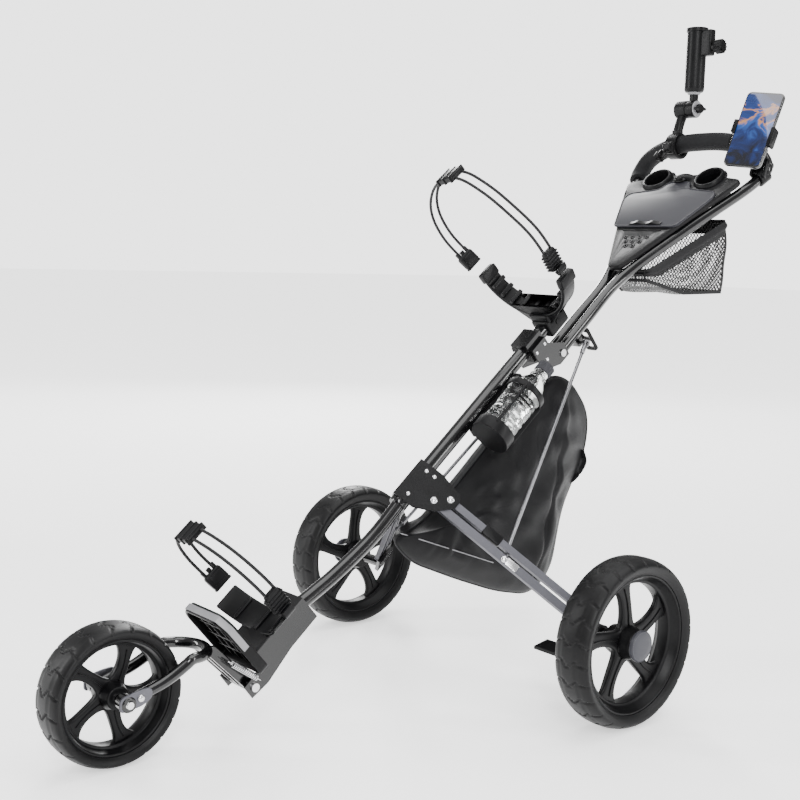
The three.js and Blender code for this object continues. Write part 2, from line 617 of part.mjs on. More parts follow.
function addUmbrellaHolder() {
  const holder = new THREE.Group();
  holder.position.set(umbrella.x, umbrella.y, umbrella.z);
  cart.add(holder);
  const { socketX, radius, bore, low, top } = umbrella;
  const swivel = { y: 16, z: 72 };
  const lockZ = top - 40;
  const tilt = (x0, x1, r, sides = 24) => bar([x0, swivel.y, swivel.z], [x1, swivel.y, swivel.z], r, sides);
  const ring = join(
    bar([-12, 0, 0], [12, 0, 0], 25, 24),
    block(-9, 9, -34, -18, -12, 4),
    block(-9, 9, -8, 8, 18, 30),
    bar([0, 0, 24], [0, swivel.y - 2, swivel.z - 8], 9),
    tilt(-13, 13, 17));
  const gripRoom = bentTube(handleStretch(0.5, 0.6, 10), grip.outer + 1.2, 12, { sides: 16 })
    .rotate([THREE.MathUtils.radToDeg(spine.angle), 0, 0])
    .translate([-umbrella.x, spine.y - umbrella.y, spine.z - umbrella.z]);
  const clamp = ring.subtract(gripRoom).subtract(tilt(-20, 20, rivetRadius + gap));
  piece("umbrella_clamp", clamp, blackPlastic, holder);
  piece("umbrella_clamp_knob", join(
    bar([0, -46, -18], [0, -38.5, -10.4], 5),
    bar([0, -56, -28], [0, -45, -17], 11, 10)), blackPlastic, holder);
  const upright = (z0, z1, r) => bar([socketX, swivel.y, z0], [socketX, swivel.y, z1], r, 28);
  const lock = (x0, x1, r, sides = 12) =>
    bar([socketX + x0, swivel.y, lockZ], [socketX + x1, swivel.y, lockZ], r, sides);
  const socket = join(
    upright(low, top, radius),
    tilt(13 + gap, 31, 17),
    block(16, 29, swivel.y - 7, swivel.y + 7, swivel.z, low + 4),
    block(socketX + 12, socketX + 38, swivel.y - 9, swivel.y + 9, top - 56, top - 4))
    .subtract(upright(low + 8, top + 2, bore))
    .subtract(tilt(-20, 60, rivetRadius + gap))
    .subtract(lock(0, 60, rivetRadius + gap, 14));
  piece("umbrella_socket", socket, blackPlastic, holder);
  const wing = join(
    tilt(-19, 36, rivetRadius, 14), tilt(31.5, 42, 9, 12),
    block(33, 42, swivel.y - 17, swivel.y + 17, swivel.z - 5, swivel.z + 5));
  piece("umbrella_tilt_knob", wing, blackPlastic, holder);
  const screw = join(lock(10, 50, rivetRadius, 14), lock(38.5, 46, 7), lock(46, 62, 14));
  piece("umbrella_lock_knob", screw, blackPlastic, holder);
}

// The holder tilts on a pin in the clamp's two ears; both are drawn in the phone's own frame.
function addPhone() {
  const clampFrame = new THREE.Group();
  clampFrame.position.set(142, 868, -54.5);
  clampFrame.rotation.z = THREE.MathUtils.degToRad(-18);
  tubeGroup.add(clampFrame);
  const seat = new THREE.Group();
  seat.position.set(phone.x, phone.y, phone.z);
  seat.rotation.set(
    THREE.MathUtils.degToRad(67), THREE.MathUtils.degToRad(17), THREE.MathUtils.degToRad(-7), "ZXY");
  cart.add(seat);
  cart.updateMatrixWorld(true);
  const onTube = (t) => seat.worldToLocal(clampFrame.localToWorld(new THREE.Vector3(0, t, 0))).toArray();

  const pin = { y: -50, z: -16, radius: 3 };
  const across = (x0, x1, r) => bar([x0, pin.y, pin.z], [x1, pin.y, pin.z], r, 14);
  const ear = [[-45, -11], [-45, -21], [-60, -22], [-66, -30], [-80, -30], [-80, -16], [-56, -10]];
  const clamp = join(
    bar(onTube(-11), onTube(11), 16, 20), sidePlate(ear, 9, 13.5), sidePlate(ear, 34.5, 39),
    across(9, 39, pin.radius))
    .subtract(bar(onTube(-20), onTube(20), 12.4, 20));
  piece("phone_clamp", clamp, blackPlastic, seat);

  const edge = phone.width / 2 + gap;
  const back = -gap;
  const holder = join(
    block(-24, 24, -32, 22, -9, back),
    block(14, 34, -54, -30, -9, back),
    block(14, 34, -54, -46, -16, -8),
    across(14, 34, 6),
    block(edge, edge + 5, -30, 6, -9, 10),
    block(20, edge + 2, -30, 6, -9, back),
    block(-edge - 5, -edge, -10, 16, -9, 10),
    block(-edge - 2, -20, -10, 16, -9, back))
    .subtract(across(0, 50, pin.radius + gap));
  piece("phone_holder", holder, blackPlastic, seat);
  const body = block(
    -phone.width / 2, phone.width / 2, -phone.height / 2, phone.height / 2, 0, phone.depth);
  piece("phone", body, glassBlack, seat);
}

function addBottle() {
  const { x, u, base, radius } = bottle;
  const upright = (t0, t1, r) => bar([x, t0, u], [x, t1, u], r, 24);
  const cage = join(
    block(14, 24, 122, 248, u - 9, u + 9), upright(base - 4, base + 18, radius + 4),
    upright(base + 94, base + 106, radius + 4));
  const cut = join(upright(base - 1, base + 176, radius + 1),
    bar([0, 100, 0], [0, 280, 0], upperTube.radius + gap, 24));
  piece("bottle_cage", cage.subtract(cut), blackPlastic, tubeGroup);
  const body = turned([
    [0, 0], [radius - 4.5, 0], [radius, 6], [radius, 92], [radius - 3.5, 112],
    [14, 134], [13, 150], [0, 150],
  ], 24).rotate([0, 0, 90]).translate([x, base, u]);
  piece("bottle", body, clear, tubeGroup);
  piece("bottle_cap", bar([x, base + 150 + gap, u], [x, base + 168, u], 15, 20), greyPlastic, tubeGroup);
}

// A soft zipped bag hanging under the main tube, hollowed where the push rods pass.
function addStorageBag() {
  const halfDepth = 32;
  const outline = [
    [-98, -34], [-54, -62], [60, -66], [110, -62], [290, -62], [338, -84], [352, -112],
    [343, -190], [300, -238], [190, -268], [112, -326], [62, -332], [-40, -192], [-96, -92],
  ];
  const geometry = new THREE.ExtrudeGeometry(
    new THREE.Shape(outline.map(([t, u]) => new THREE.Vector2(t, u))), {
      depth: 2 * halfDepth, bevelEnabled: true, bevelThickness: 18, bevelSize: 12,
      bevelOffset: -12, bevelSegments: 2,
    });
  geometry.translate(0, 0, -halfDepth);
  geometry.applyMatrix4(new THREE.Matrix4().makeBasis(
    new THREE.Vector3(0, 1, 0), new THREE.Vector3(0, 0, 1), new THREE.Vector3(1, 0, 0)));
  const rodRoom = (side) => {
    const { top, bottom } = rodEnds(side);
    return bar(top, bottom, 9, 10);
  };
  piece("storage_bag", solid(geometry).subtract(rodRoom(1)).subtract(rodRoom(-1)), cloth, tubeGroup);
}

function addLevers() {
  const { x0, x1 } = pedal;
  const z = rearWheel.radius;
  const arm = sidePlate(
    [[-8, z + 3], [-10, z - 12], [-44, 102], [-60, 100], [-60, 106], [-42, 110]], x0 + 1, x1 - 1);
  const pad = sidePlate([[-36, 102], [-66, 98], [-66, 103], [-36, 108]], 204, x1 - 1);
  const lever = join(bar([x0, 0, z], [x1, 0, z], 14, 20), arm, pad)
    .subtract(bar([x0 - 20, 0, z], [x1 + 20, 0, z], knuckle.barrel + 0.5, 20));
  piece("brake_pedal", lever, blackPlastic, cart);
  const frame = block(-12.5, 12.5, 441, 448, -118, -66)
    .subtract(block(-8.5, 8.5, 438, 450, -88, -74))
    .subtract(block(-8.5, 8.5, 438, 450, -112, -94));
  piece("latch_lever", frame, blackPlastic, tubeGroup);
}

addMainTube();
addMidBracket();
addLeg(1);
addLeg(-1);
addRod(1);
addRod(-1);
addCollar();
addUpperCradle();
addHandle();
addUpperBow();
addFoot();
addFork();
addConsole();
addMeshBag();
addUmbrellaHolder();
addPhone();
addBottle();
addStorageBag();
addLevers();

export default cart;
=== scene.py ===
import json
import math
import bmesh
import bpy
import numpy as np
from mathutils import Matrix, Vector


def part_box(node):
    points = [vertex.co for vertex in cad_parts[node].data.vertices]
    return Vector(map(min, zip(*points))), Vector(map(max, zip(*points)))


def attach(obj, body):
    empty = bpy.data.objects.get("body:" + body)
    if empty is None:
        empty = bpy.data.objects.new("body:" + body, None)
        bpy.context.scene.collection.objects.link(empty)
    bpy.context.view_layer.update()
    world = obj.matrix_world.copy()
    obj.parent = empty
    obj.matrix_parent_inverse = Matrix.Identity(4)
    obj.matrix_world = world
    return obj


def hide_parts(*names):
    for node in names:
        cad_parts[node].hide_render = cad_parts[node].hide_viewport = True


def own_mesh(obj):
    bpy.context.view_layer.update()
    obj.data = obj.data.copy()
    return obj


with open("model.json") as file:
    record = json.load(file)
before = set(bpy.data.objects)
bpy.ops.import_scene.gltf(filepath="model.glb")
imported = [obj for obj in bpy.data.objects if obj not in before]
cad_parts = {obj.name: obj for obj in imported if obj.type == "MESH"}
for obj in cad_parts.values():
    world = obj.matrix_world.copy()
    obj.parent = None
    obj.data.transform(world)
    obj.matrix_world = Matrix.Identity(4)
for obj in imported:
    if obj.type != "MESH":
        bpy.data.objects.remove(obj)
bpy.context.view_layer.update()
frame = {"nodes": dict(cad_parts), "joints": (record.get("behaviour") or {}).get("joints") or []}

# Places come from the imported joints: the tube's frame runs across, along the tube, and up from it.
joints = {joint["name"]: joint for joint in frame["joints"]}
tubeAngle = math.radians(40.5)
across = np.array([1.0, 0.0, 0.0])
along = np.array([0.0, math.cos(tubeAngle), math.sin(tubeAngle)])
lift = np.array([0.0, -math.sin(tubeAngle), math.cos(tubeAngle)])


def pivotOf(joint):
    return np.array(joints[joint]["pos_m"])


def spot(start, x=across, y=along, z=lift):
    # Turns local points into places: start plus each coordinate times its axis.
    axes = np.array([x, y, z])
    return lambda points: start + np.asarray(points, float) @ axes


upright = (across, np.array([0.0, 1.0, 0.0]), np.array([0.0, 0.0, 1.0]))
tubeStart = pivotOf("handle_fold") - 0.360 * along + 0.047 * lift
footStart = pivotOf("fork_fold") + 0.140 * along + 0.010 * lift
onTube = spot(tubeStart)
onFoot = spot(footStart)


# Surfaces: grids, tubes, turned shapes and slabs.
def unit(vectors):
    # Each vector over its own length.
    return vectors / np.linalg.norm(vectors, axis=-1, keepdims=True)


def ease(low, high, value):
    # Smooth step: 3w^2 - 2w^3 between low and high.
    w = np.clip((value - low) / (high - low), 0, 1)
    return w * w * (3 - 2 * w)


def smoothPath(points, count, start=0.0, end=1.0):
    # Centripetal Catmull-Rom: each stretch is a cubic whose end slopes come from its neighbours,
    # spaced by the square root of the distances.
    p = np.asarray(points, float)
    p = np.vstack([2 * p[0] - p[1], p, 2 * p[-1] - p[-2]])
    gaps = np.sqrt(np.linalg.norm(np.diff(p, axis=0), axis=1))
    s = np.linspace(start, end, count) * (len(p) - 3)
    k = np.minimum(s.astype(int), len(p) - 4)
    w = (s - k)[:, None]
    a, b, c, d = p[k], p[k + 1], p[k + 2], p[k + 3]
    g, h, i = gaps[k][:, None], gaps[k + 1][:, None], gaps[k + 2][:, None]
    m = ((b - a) / g - (c - a) / (g + h) + (c - b) / h) * h
    n = ((c - b) / h - (d - b) / (h + i) + (d - c) / i) * h
    return (b * (2 * w**3 - 3 * w**2 + 1) + m * (w**3 - 2 * w**2 + w)
            + c * (3 * w**2 - 2 * w**3) + n * (w**3 - w**2))


def circle(radius, count=24, squeeze=1.0):
    # Radius times the cosine, and radius times squeeze times the sine.
    turn = np.arange(count) * 2 * math.pi / count
    return np.stack([radius * np.cos(turn), radius * squeeze * np.sin(turn)], 1)


def rounded(outline, radius, steps=5):
    # Each corner becomes a quadratic curve that starts and ends at most radius away from it.
    p = np.asarray(outline, float)
    before, after = np.roll(p, 1, 0) - p, np.roll(p, -1, 0) - p
    reach = [
        np.minimum(radius, 0.48 * np.linalg.norm(v, axis=1))[:, None] * unit(v) for v in (before, after)]
    w = np.linspace(0, 1, steps)[None, :, None]
    a, b, c = (p + reach[0])[:, None], p[:, None], (p + reach[1])[:, None]
    return ((1 - w) ** 2 * a + 2 * w * (1 - w) * b + w**2 * c).reshape(-1, 2)


def roundBox(width, height, corner, steps=5):
    # A rectangle about the middle, with its corners rounded.
    x, y = width / 2, height / 2
    return rounded([(-x, -y), (x, -y), (x, y), (-x, y)], corner, steps)


def inset(outline, depth):
    # Moves every point square to its two edges, by depth.
    edge = unit(np.roll(outline, -1, 0) - outline)
    normal = np.stack([edge[:, 1], -edge[:, 0]], 1)
    last = np.roll(normal, 1, 0)
    turn = 1 + (normal * last).sum(1, keepdims=True)
    side = np.sign(((outline * np.roll(np.roll(outline, -1, 0), 1, 1) * [1, -1])).sum())
    return outline - side * depth * (normal + last) / np.maximum(turn, 0.3)


def polyShell(points, sizes, loops, uv):
    # A closed shell whose signed volume is negative is turned the right way out.
    starts = np.concatenate([[0], np.cumsum(sizes)[:-1]])
    owner = np.repeat(np.arange(len(sizes)), sizes)
    order = np.arange(len(loops)) - starts[owner]
    following = starts[owner] + (order + 1) % sizes[owner]
    middle = points.mean(0)
    p = points[loops] - middle
    areas = np.add.reduceat(np.cross(p, p[following]), starts, axis=0)
    if (areas * p[starts]).sum() < 0:
        back = starts[owner] + sizes[owner] - 1 - order
        loops, uv = loops[back], uv[back]
    return points, sizes, loops, uv


def gridShell(points, rowsClosed=False, roundClosed=True, capped=True):
    # Rows of points joined by quads, with a UV map in metres along the mean row and column.
    points = np.asarray(points, float)
    rows, columns = points.shape[:2]
    i, j = np.meshgrid(np.arange(rows - (not rowsClosed)),
                       np.arange(columns - (not roundClosed)), indexing="ij")
    i, j = i.ravel(), j.ravel()
    spans = np.linalg.norm(np.roll(points, -1, 1) - points, axis=2).mean(0)
    down = np.linalg.norm(np.roll(points, -1, 0) - points, axis=2).mean(1)
    u = np.concatenate([[0], np.cumsum(spans)])
    v = np.concatenate([[0], np.cumsum(down)])
    corners = ((0, 0), (1, 0), (1, 1), (0, 1))
    loops = np.stack([((i + a) % rows) * columns + (j + b) % columns for a, b in corners], 1).ravel()
    uv = np.stack([np.stack([u[j + b], v[i + a]], 1) for a, b in corners], 1).reshape(-1, 2)
    sizes = np.full(len(i), 4)
    if capped and not rowsClosed:
        ring = np.arange(columns)
        loops = np.concatenate([loops, ring, (rows - 1) * columns + ring[::-1]])
        uv = np.concatenate([uv, np.zeros((2 * columns, 2))])
        sizes = np.concatenate([sizes, [columns, columns]])
    return polyShell(points.reshape(-1, 3), sizes, loops, uv)


def sweepShell(path, profile, up, edge=0.0, closed=False, swell=None):
    # A closed profile carried along a path: its first axis is square to the path and to up.
    path = np.asarray(path, float)
    tangent = np.roll(path, -1, 0) - np.roll(path, 1, 0) if closed else np.gradient(path, axis=0)
    size = np.ones(len(path)) if swell is None else np.asarray(swell, float)
    if edge > 0:
        turn = np.linspace(0, math.pi / 2, 5)[:-1]
        step, shrink = edge * (1 - np.cos(turn)), 1 - edge * (1 - np.sin(turn)) / np.abs(profile).max()
        first, last = unit(tangent[0]), unit(tangent[-1])
        path = np.vstack([path[0] + step[:, None] * first, path[1:-1], path[-1] - step[::-1, None] * last])
        tangent = np.vstack([np.tile(first, (4, 1)), tangent[1:-1], np.tile(last, (4, 1))])
        size = np.concatenate([size[0] * shrink, size[1:-1], size[-1] * shrink[::-1]])
    tangent = unit(tangent)
    side = unit(np.cross(tangent, up))
    top = np.cross(side, tangent)
    ring = size[:, None, None] * profile
    points = path[:, None] + ring[..., :1] * side[:, None] + ring[..., 1:] * top[:, None]
    return gridShell(points, rowsClosed=closed)


def rod(a, b, radius, edge=0.0006, sides=24):
    # A round bar from a to b: a circle carried along a straight path.
    direction = unit(np.subtract(b, a))
    up = across if abs(direction[0]) < 0.7 else lift
    return sweepShell(np.array([a, b]), circle(radius, sides), up, edge)


def turnedShell(profile, start, axis, count=48, closed=False):
    # (radius, height) pairs turned about an axis through start.
    axis = unit(np.asarray(axis, float))
    side = unit(np.cross(axis, [0.31, 0.52, 0.79]))
    other = np.cross(axis, side)
    turn = np.arange(count) * 2 * math.pi / count
    ring = np.cos(turn)[:, None] * side + np.sin(turn)[:, None] * other
    profile = np.asarray(profile, float)
    points = start + profile[:, None, :1] * ring + profile[:, None, 1:] * axis
    return gridShell(points, rowsClosed=closed)


def slab(outline, low, high, place, edge=0.001, steps=4):
    # An outline raised from low to high, its rim a quarter circle at both faces.
    turn = np.linspace(0, math.pi / 2, steps)
    cut = np.concatenate([edge * (1 - np.sin(turn)), edge * (1 - np.sin(turn[::-1]))])
    height = np.concatenate([low + edge * (1 - np.cos(turn)), high - edge * (1 - np.cos(turn[::-1]))])
    outline = np.asarray(outline, float)
    rows = [np.column_stack([inset(outline, c), np.full(len(outline), h)]) for c, h in zip(cut, height)]
    return gridShell(place(np.array(rows)))


def cutSlab(outlines, low, high, place, edge=0.001):
    # A flat filled curve with holes, raised and rounded, then made a mesh with its doubles merged.
    curve = bpy.data.curves.new("cut", "CURVE")
    curve.dimensions = "2D"
    curve.fill_mode = "BOTH"
    curve.extrude = (high - low) / 2 - edge
    curve.bevel_depth = edge
    curve.bevel_resolution = 2
    curve.offset = -edge
    for outline in outlines:
        spline = curve.splines.new("POLY")
        spline.points.add(len(outline) - 1)
        flat = np.column_stack([outline, np.zeros(len(outline)), np.ones(len(outline))])
        spline.points.foreach_set("co", flat.ravel())
        spline.use_cyclic_u = True
    holder = bpy.data.objects.new("cut", curve)
    bpy.context.scene.collection.objects.link(holder)
    bpy.context.view_layer.update()
    mesh = bpy.data.meshes.new_from_object(holder.evaluated_get(bpy.context.evaluated_depsgraph_get()))
    work = bmesh.new()
    work.from_mesh(mesh)
    bmesh.ops.remove_doubles(work, verts=work.verts, dist=1e-6)
    bmesh.ops.recalc_face_normals(work, faces=work.faces)
    work.to_mesh(mesh)
    work.free()
    points = np.zeros(len(mesh.vertices) * 3)
    mesh.vertices.foreach_get("co", points)
    sizes = np.zeros(len(mesh.polygons), int)
    mesh.polygons.foreach_get("loop_total", sizes)
    loops = np.zeros(len(mesh.loops), int)
    mesh.loops.foreach_get("vertex_index", loops)
    bpy.data.objects.remove(holder)
    bpy.data.curves.remove(curve)
    bpy.data.meshes.remove(mesh)
    local = points.reshape(-1, 3) + [0, 0, (low + high) / 2]
    return polyShell(place(local), sizes, loops, local[loops][:, :2])


finishes = {}


def makePiece(name, shells, finish, body, stands=(), crease=38.0):
    # Puts closed shells into one mesh, gives it a finish and a body, and hides the nodes it stands for.
    sizes = np.concatenate([s[1] for s in shells])
    shift = np.concatenate([[0], np.cumsum([len(s[0]) for s in shells])[:-1]])
    mesh = bpy.data.meshes.new(name)
    points = np.vstack([s[0] for s in shells])
    loops = np.concatenate([s[2] + k for s, k in zip(shells, shift)])
    mesh.vertices.add(len(points))
    mesh.vertices.foreach_set("co", points.ravel())
    mesh.loops.add(len(loops))
    mesh.loops.foreach_set("vertex_index", loops.astype(np.int32))
    mesh.polygons.add(len(sizes))
    mesh.polygons.foreach_set("loop_start", np.concatenate([[0], np.cumsum(sizes)[:-1]]).astype(np.int32))
    mesh.uv_layers.new(name="cut")
    mesh.uv_layers["cut"].data.foreach_set("uv", np.vstack([s[3] for s in shells]).ravel())
    mesh.update(calc_edges=True)
    mesh.validate()
    mesh.shade_smooth()
    mesh.set_sharp_from_angle(angle=math.radians(crease))
    mesh.materials.append(finishes[finish])
    made = bpy.data.objects.new(name, mesh)
    bpy.context.scene.collection.objects.link(made)
    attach(made, body)
    if stands:
        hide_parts(*stands)
    return made


# Finishes.
class Wire:
    # A shader socket that takes part in Python sums.
    def __init__(self, tree, socket=None):
        self.tree = tree
        self.socket = socket

    def node(self, kind, settings=(), sockets=(), out=0):
        made = self.tree.nodes.new(kind)
        for name, value in dict(settings).items():
            if name == "stops":
                ramp = made.color_ramp.elements
                while len(ramp) < len(value):
                    ramp.new(0.5)
                for stop, (position, colour) in zip(ramp, value):
                    stop.position = position
                    stop.color = (*colour, 1)
            else:
                setattr(made, name, value)
        for name, value in dict(sockets).items():
            if isinstance(value, Wire):
                self.tree.links.new(value.socket, made.inputs[name])
            else:
                made.inputs[name].default_value = value
        return None if out is None else Wire(self.tree, made.outputs[out])

    def maths(self, operation, first, second=0.0):
        return self.node("ShaderNodeMath", {"operation": operation}, {0: first, 1: second})

    def __add__(self, other):
        return self.maths("ADD", self, other)

    def __sub__(self, other):
        return self.maths("SUBTRACT", self, other)

    def __rsub__(self, other):
        return self.maths("SUBTRACT", other, self)

    def __mul__(self, other):
        return self.maths("MULTIPLY", self, other)

    def __pow__(self, other):
        return self.maths("POWER", self, other)

    __radd__ = __add__
    __rmul__ = __mul__

    def noise(self, scale, detail=3.0, roughness=0.55):
        return self.node("ShaderNodeTexNoise", {}, {
            "Vector": self, "Scale": scale, "Detail": detail, "Roughness": roughness})

    def blend(self, low, high):
        # Between two colours, by this value.
        return self.node("ShaderNodeMix", {"data_type": "RGBA"}, {
            0: self, 6: (*low, 1), 7: (*high, 1)}, 2)

    def bump(self, strength, distance):
        return self.node("ShaderNodeBump", {}, {
            "Height": self, "Strength": strength, "Distance": distance})

    def part(self, name):
        return self.node("ShaderNodeSeparateXYZ", {}, {"Vector": self}, name)


def addFinish(name, look, **fixed):
    # One principled surface from the sockets that the look works out and the fixed ones.
    material = bpy.data.materials.new(name)
    material.use_nodes = True
    tree = material.node_tree
    tree.nodes.clear()
    start = Wire(tree)
    place = start.node("ShaderNodeTexCoord", out="Object")
    flat = start.node("ShaderNodeUVMap", {"uv_map": "cut"})
    sockets = look(place, flat)
    sockets.update({key.replace("_", " "): value for key, value in fixed.items()})
    surface = start.node("ShaderNodeBsdfPrincipled", {}, sockets)
    start.node("ShaderNodeOutputMaterial", {}, {"Surface": surface}, None)
    finishes[name] = material


def paintLook(place, flat):
    # Gloss black with a faint orange peel.
    peel = place.noise(420.0, 2.0)
    haze = place.noise(26.0, 4.0)
    return {
        "Base Color": haze.blend((0.0012, 0.0012, 0.0014), (0.0040, 0.0040, 0.0045)),
        "Roughness": haze * 0.10 + 0.17,
        "Normal": peel.bump(0.10, 0.0003)}


def plasticLook(dark, light, rough):
    # Moulded plastic: a fine grain and rubbed patches.
    def look(place, flat):
        grain = place.noise(1500.0, 2.0)
        rub = place.noise(38.0, 5.0)
        return {
            "Base Color": rub.blend(dark, light),
            "Roughness": rub * 0.14 + rough,
            "Normal": grain.bump(0.16, 0.00025)}
    return look


def rubberLook(place, flat):
    # Dusty rubber.
    dust = place.noise(60.0, 6.0, 0.65)
    fine = place.noise(900.0, 3.0)
    return {
        "Base Color": dust.blend((0.0016, 0.0016, 0.0018), (0.0060, 0.0060, 0.0064)),
        "Roughness": dust * 0.22 + 0.34,
        "Normal": fine.bump(0.22, 0.0004)}


def foamLook(place, flat):
    # Closed-cell foam: small cells as bumps.
    cells = place.node("ShaderNodeTexVoronoi", {}, {"Vector": place, "Scale": 1300.0})
    worn = place.noise(30.0, 4.0)
    return {
        "Base Color": worn.blend((0.004, 0.004, 0.0045), (0.010, 0.010, 0.011)),
        "Roughness": worn * 0.15 + 0.58,
        "Normal": cells.bump(0.35, 0.0005)}


def brushedLook(dark, light, rough, stretch):
    # Metal drawn along one axis: noise that is stretched by the given scale.
    def look(place, flat):
        stretched = place.node("ShaderNodeMapping", {}, {"Vector": place, "Scale": stretch})
        drawn = stretched.noise(1.0, 4.0, 0.7)
        smear = place.noise(45.0, 4.0)
        return {
            "Base Color": drawn.blend(dark, light),
            "Roughness": smear * 0.16 + drawn * 0.10 + rough,
            "Normal": drawn.bump(0.14, 0.0003)}
    return look


def clothLook(place, flat):
    # Plain weave: a warp and a weft wave, each 0.9 mm wide, over slow shade changes.
    threads = 2 * math.pi / 0.0009
    warp = flat.maths("SINE", flat.part("X") * threads)
    weft = flat.maths("SINE", flat.part("Y") * threads)
    weave = warp * weft * 0.5 + 0.5
    fade = place.noise(9.0, 5.0)
    folds = place.noise(34.0, 3.0)
    height = weave * 0.12 + folds
    return {
        "Base Color": fade.blend((0.0018, 0.0018, 0.0021), (0.0058, 0.0058, 0.0066)),
        "Roughness": fade * 0.16 + weave * 0.06 + 0.40,
        "Normal": height.bump(0.30, 0.0015)}


def netLook(place, flat):
    # Square net on the bias: a cord wherever either diagonal count is near a whole number.
    x, y = flat.part("X"), flat.part("Y")
    cell, share = 0.0042, 0.30
    rising = flat.maths("PINGPONG", (x + y) * (0.7071 / cell), 0.5)
    falling = flat.maths("PINGPONG", (x - y) * (0.7071 / cell), 0.5)
    clearRising = flat.maths("GREATER_THAN", rising, share / 2)
    clearFalling = flat.maths("GREATER_THAN", falling, share / 2)
    fuzz = place.noise(700.0, 2.0)
    return {
        "Base Color": fuzz.blend((0.002, 0.002, 0.0022), (0.008, 0.008, 0.0085)),
        "Roughness": fuzz * 0.2 + 0.45,
        "Alpha": 1 - clearRising * clearFalling,
        "Normal": fuzz.bump(0.3, 0.0005)}


def smokedLook(place, flat):
    # Dark, nearly opaque lid plastic.
    haze = place.noise(14.0, 4.0)
    return {
        "Base Color": haze.blend((0.018, 0.018, 0.022), (0.030, 0.030, 0.035)),
        "Roughness": haze * 0.10 + 0.30,
        "Normal": place.noise(300.0).bump(0.03, 0.0003)}


def clearLook(place, flat):
    # Thin clear plastic, dented.
    crush = place.noise(55.0, 3.0)
    return {
        "Base Color": crush.blend((0.93, 0.96, 0.95), (0.99, 1.0, 0.99)),
        "Roughness": crush * 0.05 + 0.02,
        "Normal": crush.bump(0.55, 0.004)}


def screenLook(place, flat):
    # A plain wash of blue cloud over black, with a warm patch: nothing drawn or written.
    swirl = flat.node("ShaderNodeTexNoise", {},
                      {"Vector": flat, "Scale": 22.0, "Detail": 5.0, "Distortion": 1.4})
    height = flat.part("Y") * 6.9
    sky = flat.node("ShaderNodeValToRGB", {"stops": [
        (0.34, (0.001, 0.002, 0.008)), (0.50, (0.004, 0.03, 0.18)), (0.60, (0.03, 0.14, 0.55)),
        (0.66, (0.9, 0.40, 0.12)), (0.70, (0.01, 0.06, 0.30)), (0.88, (0.002, 0.008, 0.06))]},
        {"Fac": swirl * 0.9 + height * 0.45 - 0.10})
    return {"Base Color": (0.004, 0.004, 0.006, 1), "Emission Color": sky, "Roughness": 0.08}


addFinish("black_paint", paintLook, Specular_IOR_Level=0.30, Coat_Weight=0.55, Coat_Roughness=0.05)
addFinish("black_plastic", plasticLook((0.0016, 0.0016, 0.0018), (0.0050, 0.0050, 0.0056), 0.30),
          Specular_IOR_Level=0.14)
addFinish("grey_plastic", plasticLook((0.022, 0.022, 0.026), (0.036, 0.036, 0.041), 0.42),
          Specular_IOR_Level=0.18)
addFinish("hub_grey", plasticLook((0.030, 0.030, 0.037), (0.044, 0.045, 0.053), 0.36),
          Specular_IOR_Level=0.25)
# Light grey plastic: the foot tray lip's own colour, and also painted highlights on the umbrella swivel rings
# and along the bag's front seam.
addFinish("grey_lip_and_highlight", plasticLook((0.16, 0.16, 0.17), (0.24, 0.24, 0.25), 0.30))
addFinish("tyre_rubber", rubberLook, Specular_IOR_Level=0.18)
addFinish("foam", foamLook, Specular_IOR_Level=0.14)
addFinish("grey_metal", brushedLook((0.07, 0.07, 0.082), (0.12, 0.12, 0.135), 0.26, (40.0, 500.0, 900.0)),
          Metallic=0.75)
addFinish("dull_steel", brushedLook((0.16, 0.16, 0.17), (0.26, 0.26, 0.27), 0.24, (300.0, 300.0, 60.0)),
          Metallic=1.0)
addFinish("steel", brushedLook((0.55, 0.55, 0.56), (0.78, 0.78, 0.79), 0.12, (300.0, 300.0, 60.0)),
          Metallic=1.0)
addFinish("cloth", clothLook, Specular_IOR_Level=0.14)
addFinish("strap", plasticLook((0.003, 0.003, 0.0034), (0.008, 0.008, 0.009), 0.5), Specular_IOR_Level=0.25)
addFinish("net", netLook)
addFinish("smoked", smokedLook, Specular_IOR_Level=0.14)
addFinish("clear", clearLook, Transmission_Weight=1.0, IOR=1.33)
addFinish("screen", screenLook, Emission_Strength=1.1, Coat_Weight=1.0)
addFinish("phone_black", plasticLook((0.003, 0.003, 0.0035), (0.005, 0.005, 0.006), 0.10),
          Coat_Weight=1.0, Coat_Roughness=0.02)
print("finishes made")


# Camera.
view = {"azimuth": 49.17, "elevation": 6.757, "roll": 1.7255, "distance": 2.1061, "lens": 55.65,
        "target": (-0.1171, 0.0064, 0.4513)}


def addCamera():
    # Looks back along azimuth and elevation at the target, then rolls about that line.
    a, e, r = (math.radians(view[key]) for key in ("azimuth", "elevation", "roll"))
    back = np.array([math.sin(a) * math.cos(e), -math.cos(a) * math.cos(e), math.sin(e)])
    right = unit(np.cross(-back, [0, 0, 1.0]))
    top = np.cross(right, -back)
    turned = right * math.cos(r) + top * math.sin(r)
    head = top * math.cos(r) - right * math.sin(r)
    camera = bpy.data.objects.new("camera", bpy.data.cameras.new("camera"))
    camera.data.lens = view["lens"]
    camera.data.sensor_width = 36.0
    camera.data.clip_end = 100.0
    place = Matrix(np.column_stack([turned, head, back]).tolist()).to_4x4()
    place.translation = np.array(view["target"]) + view["distance"] * back
    camera.matrix_world = place
    bpy.context.scene.collection.objects.link(camera)
    bpy.context.scene.camera = camera


addCamera()

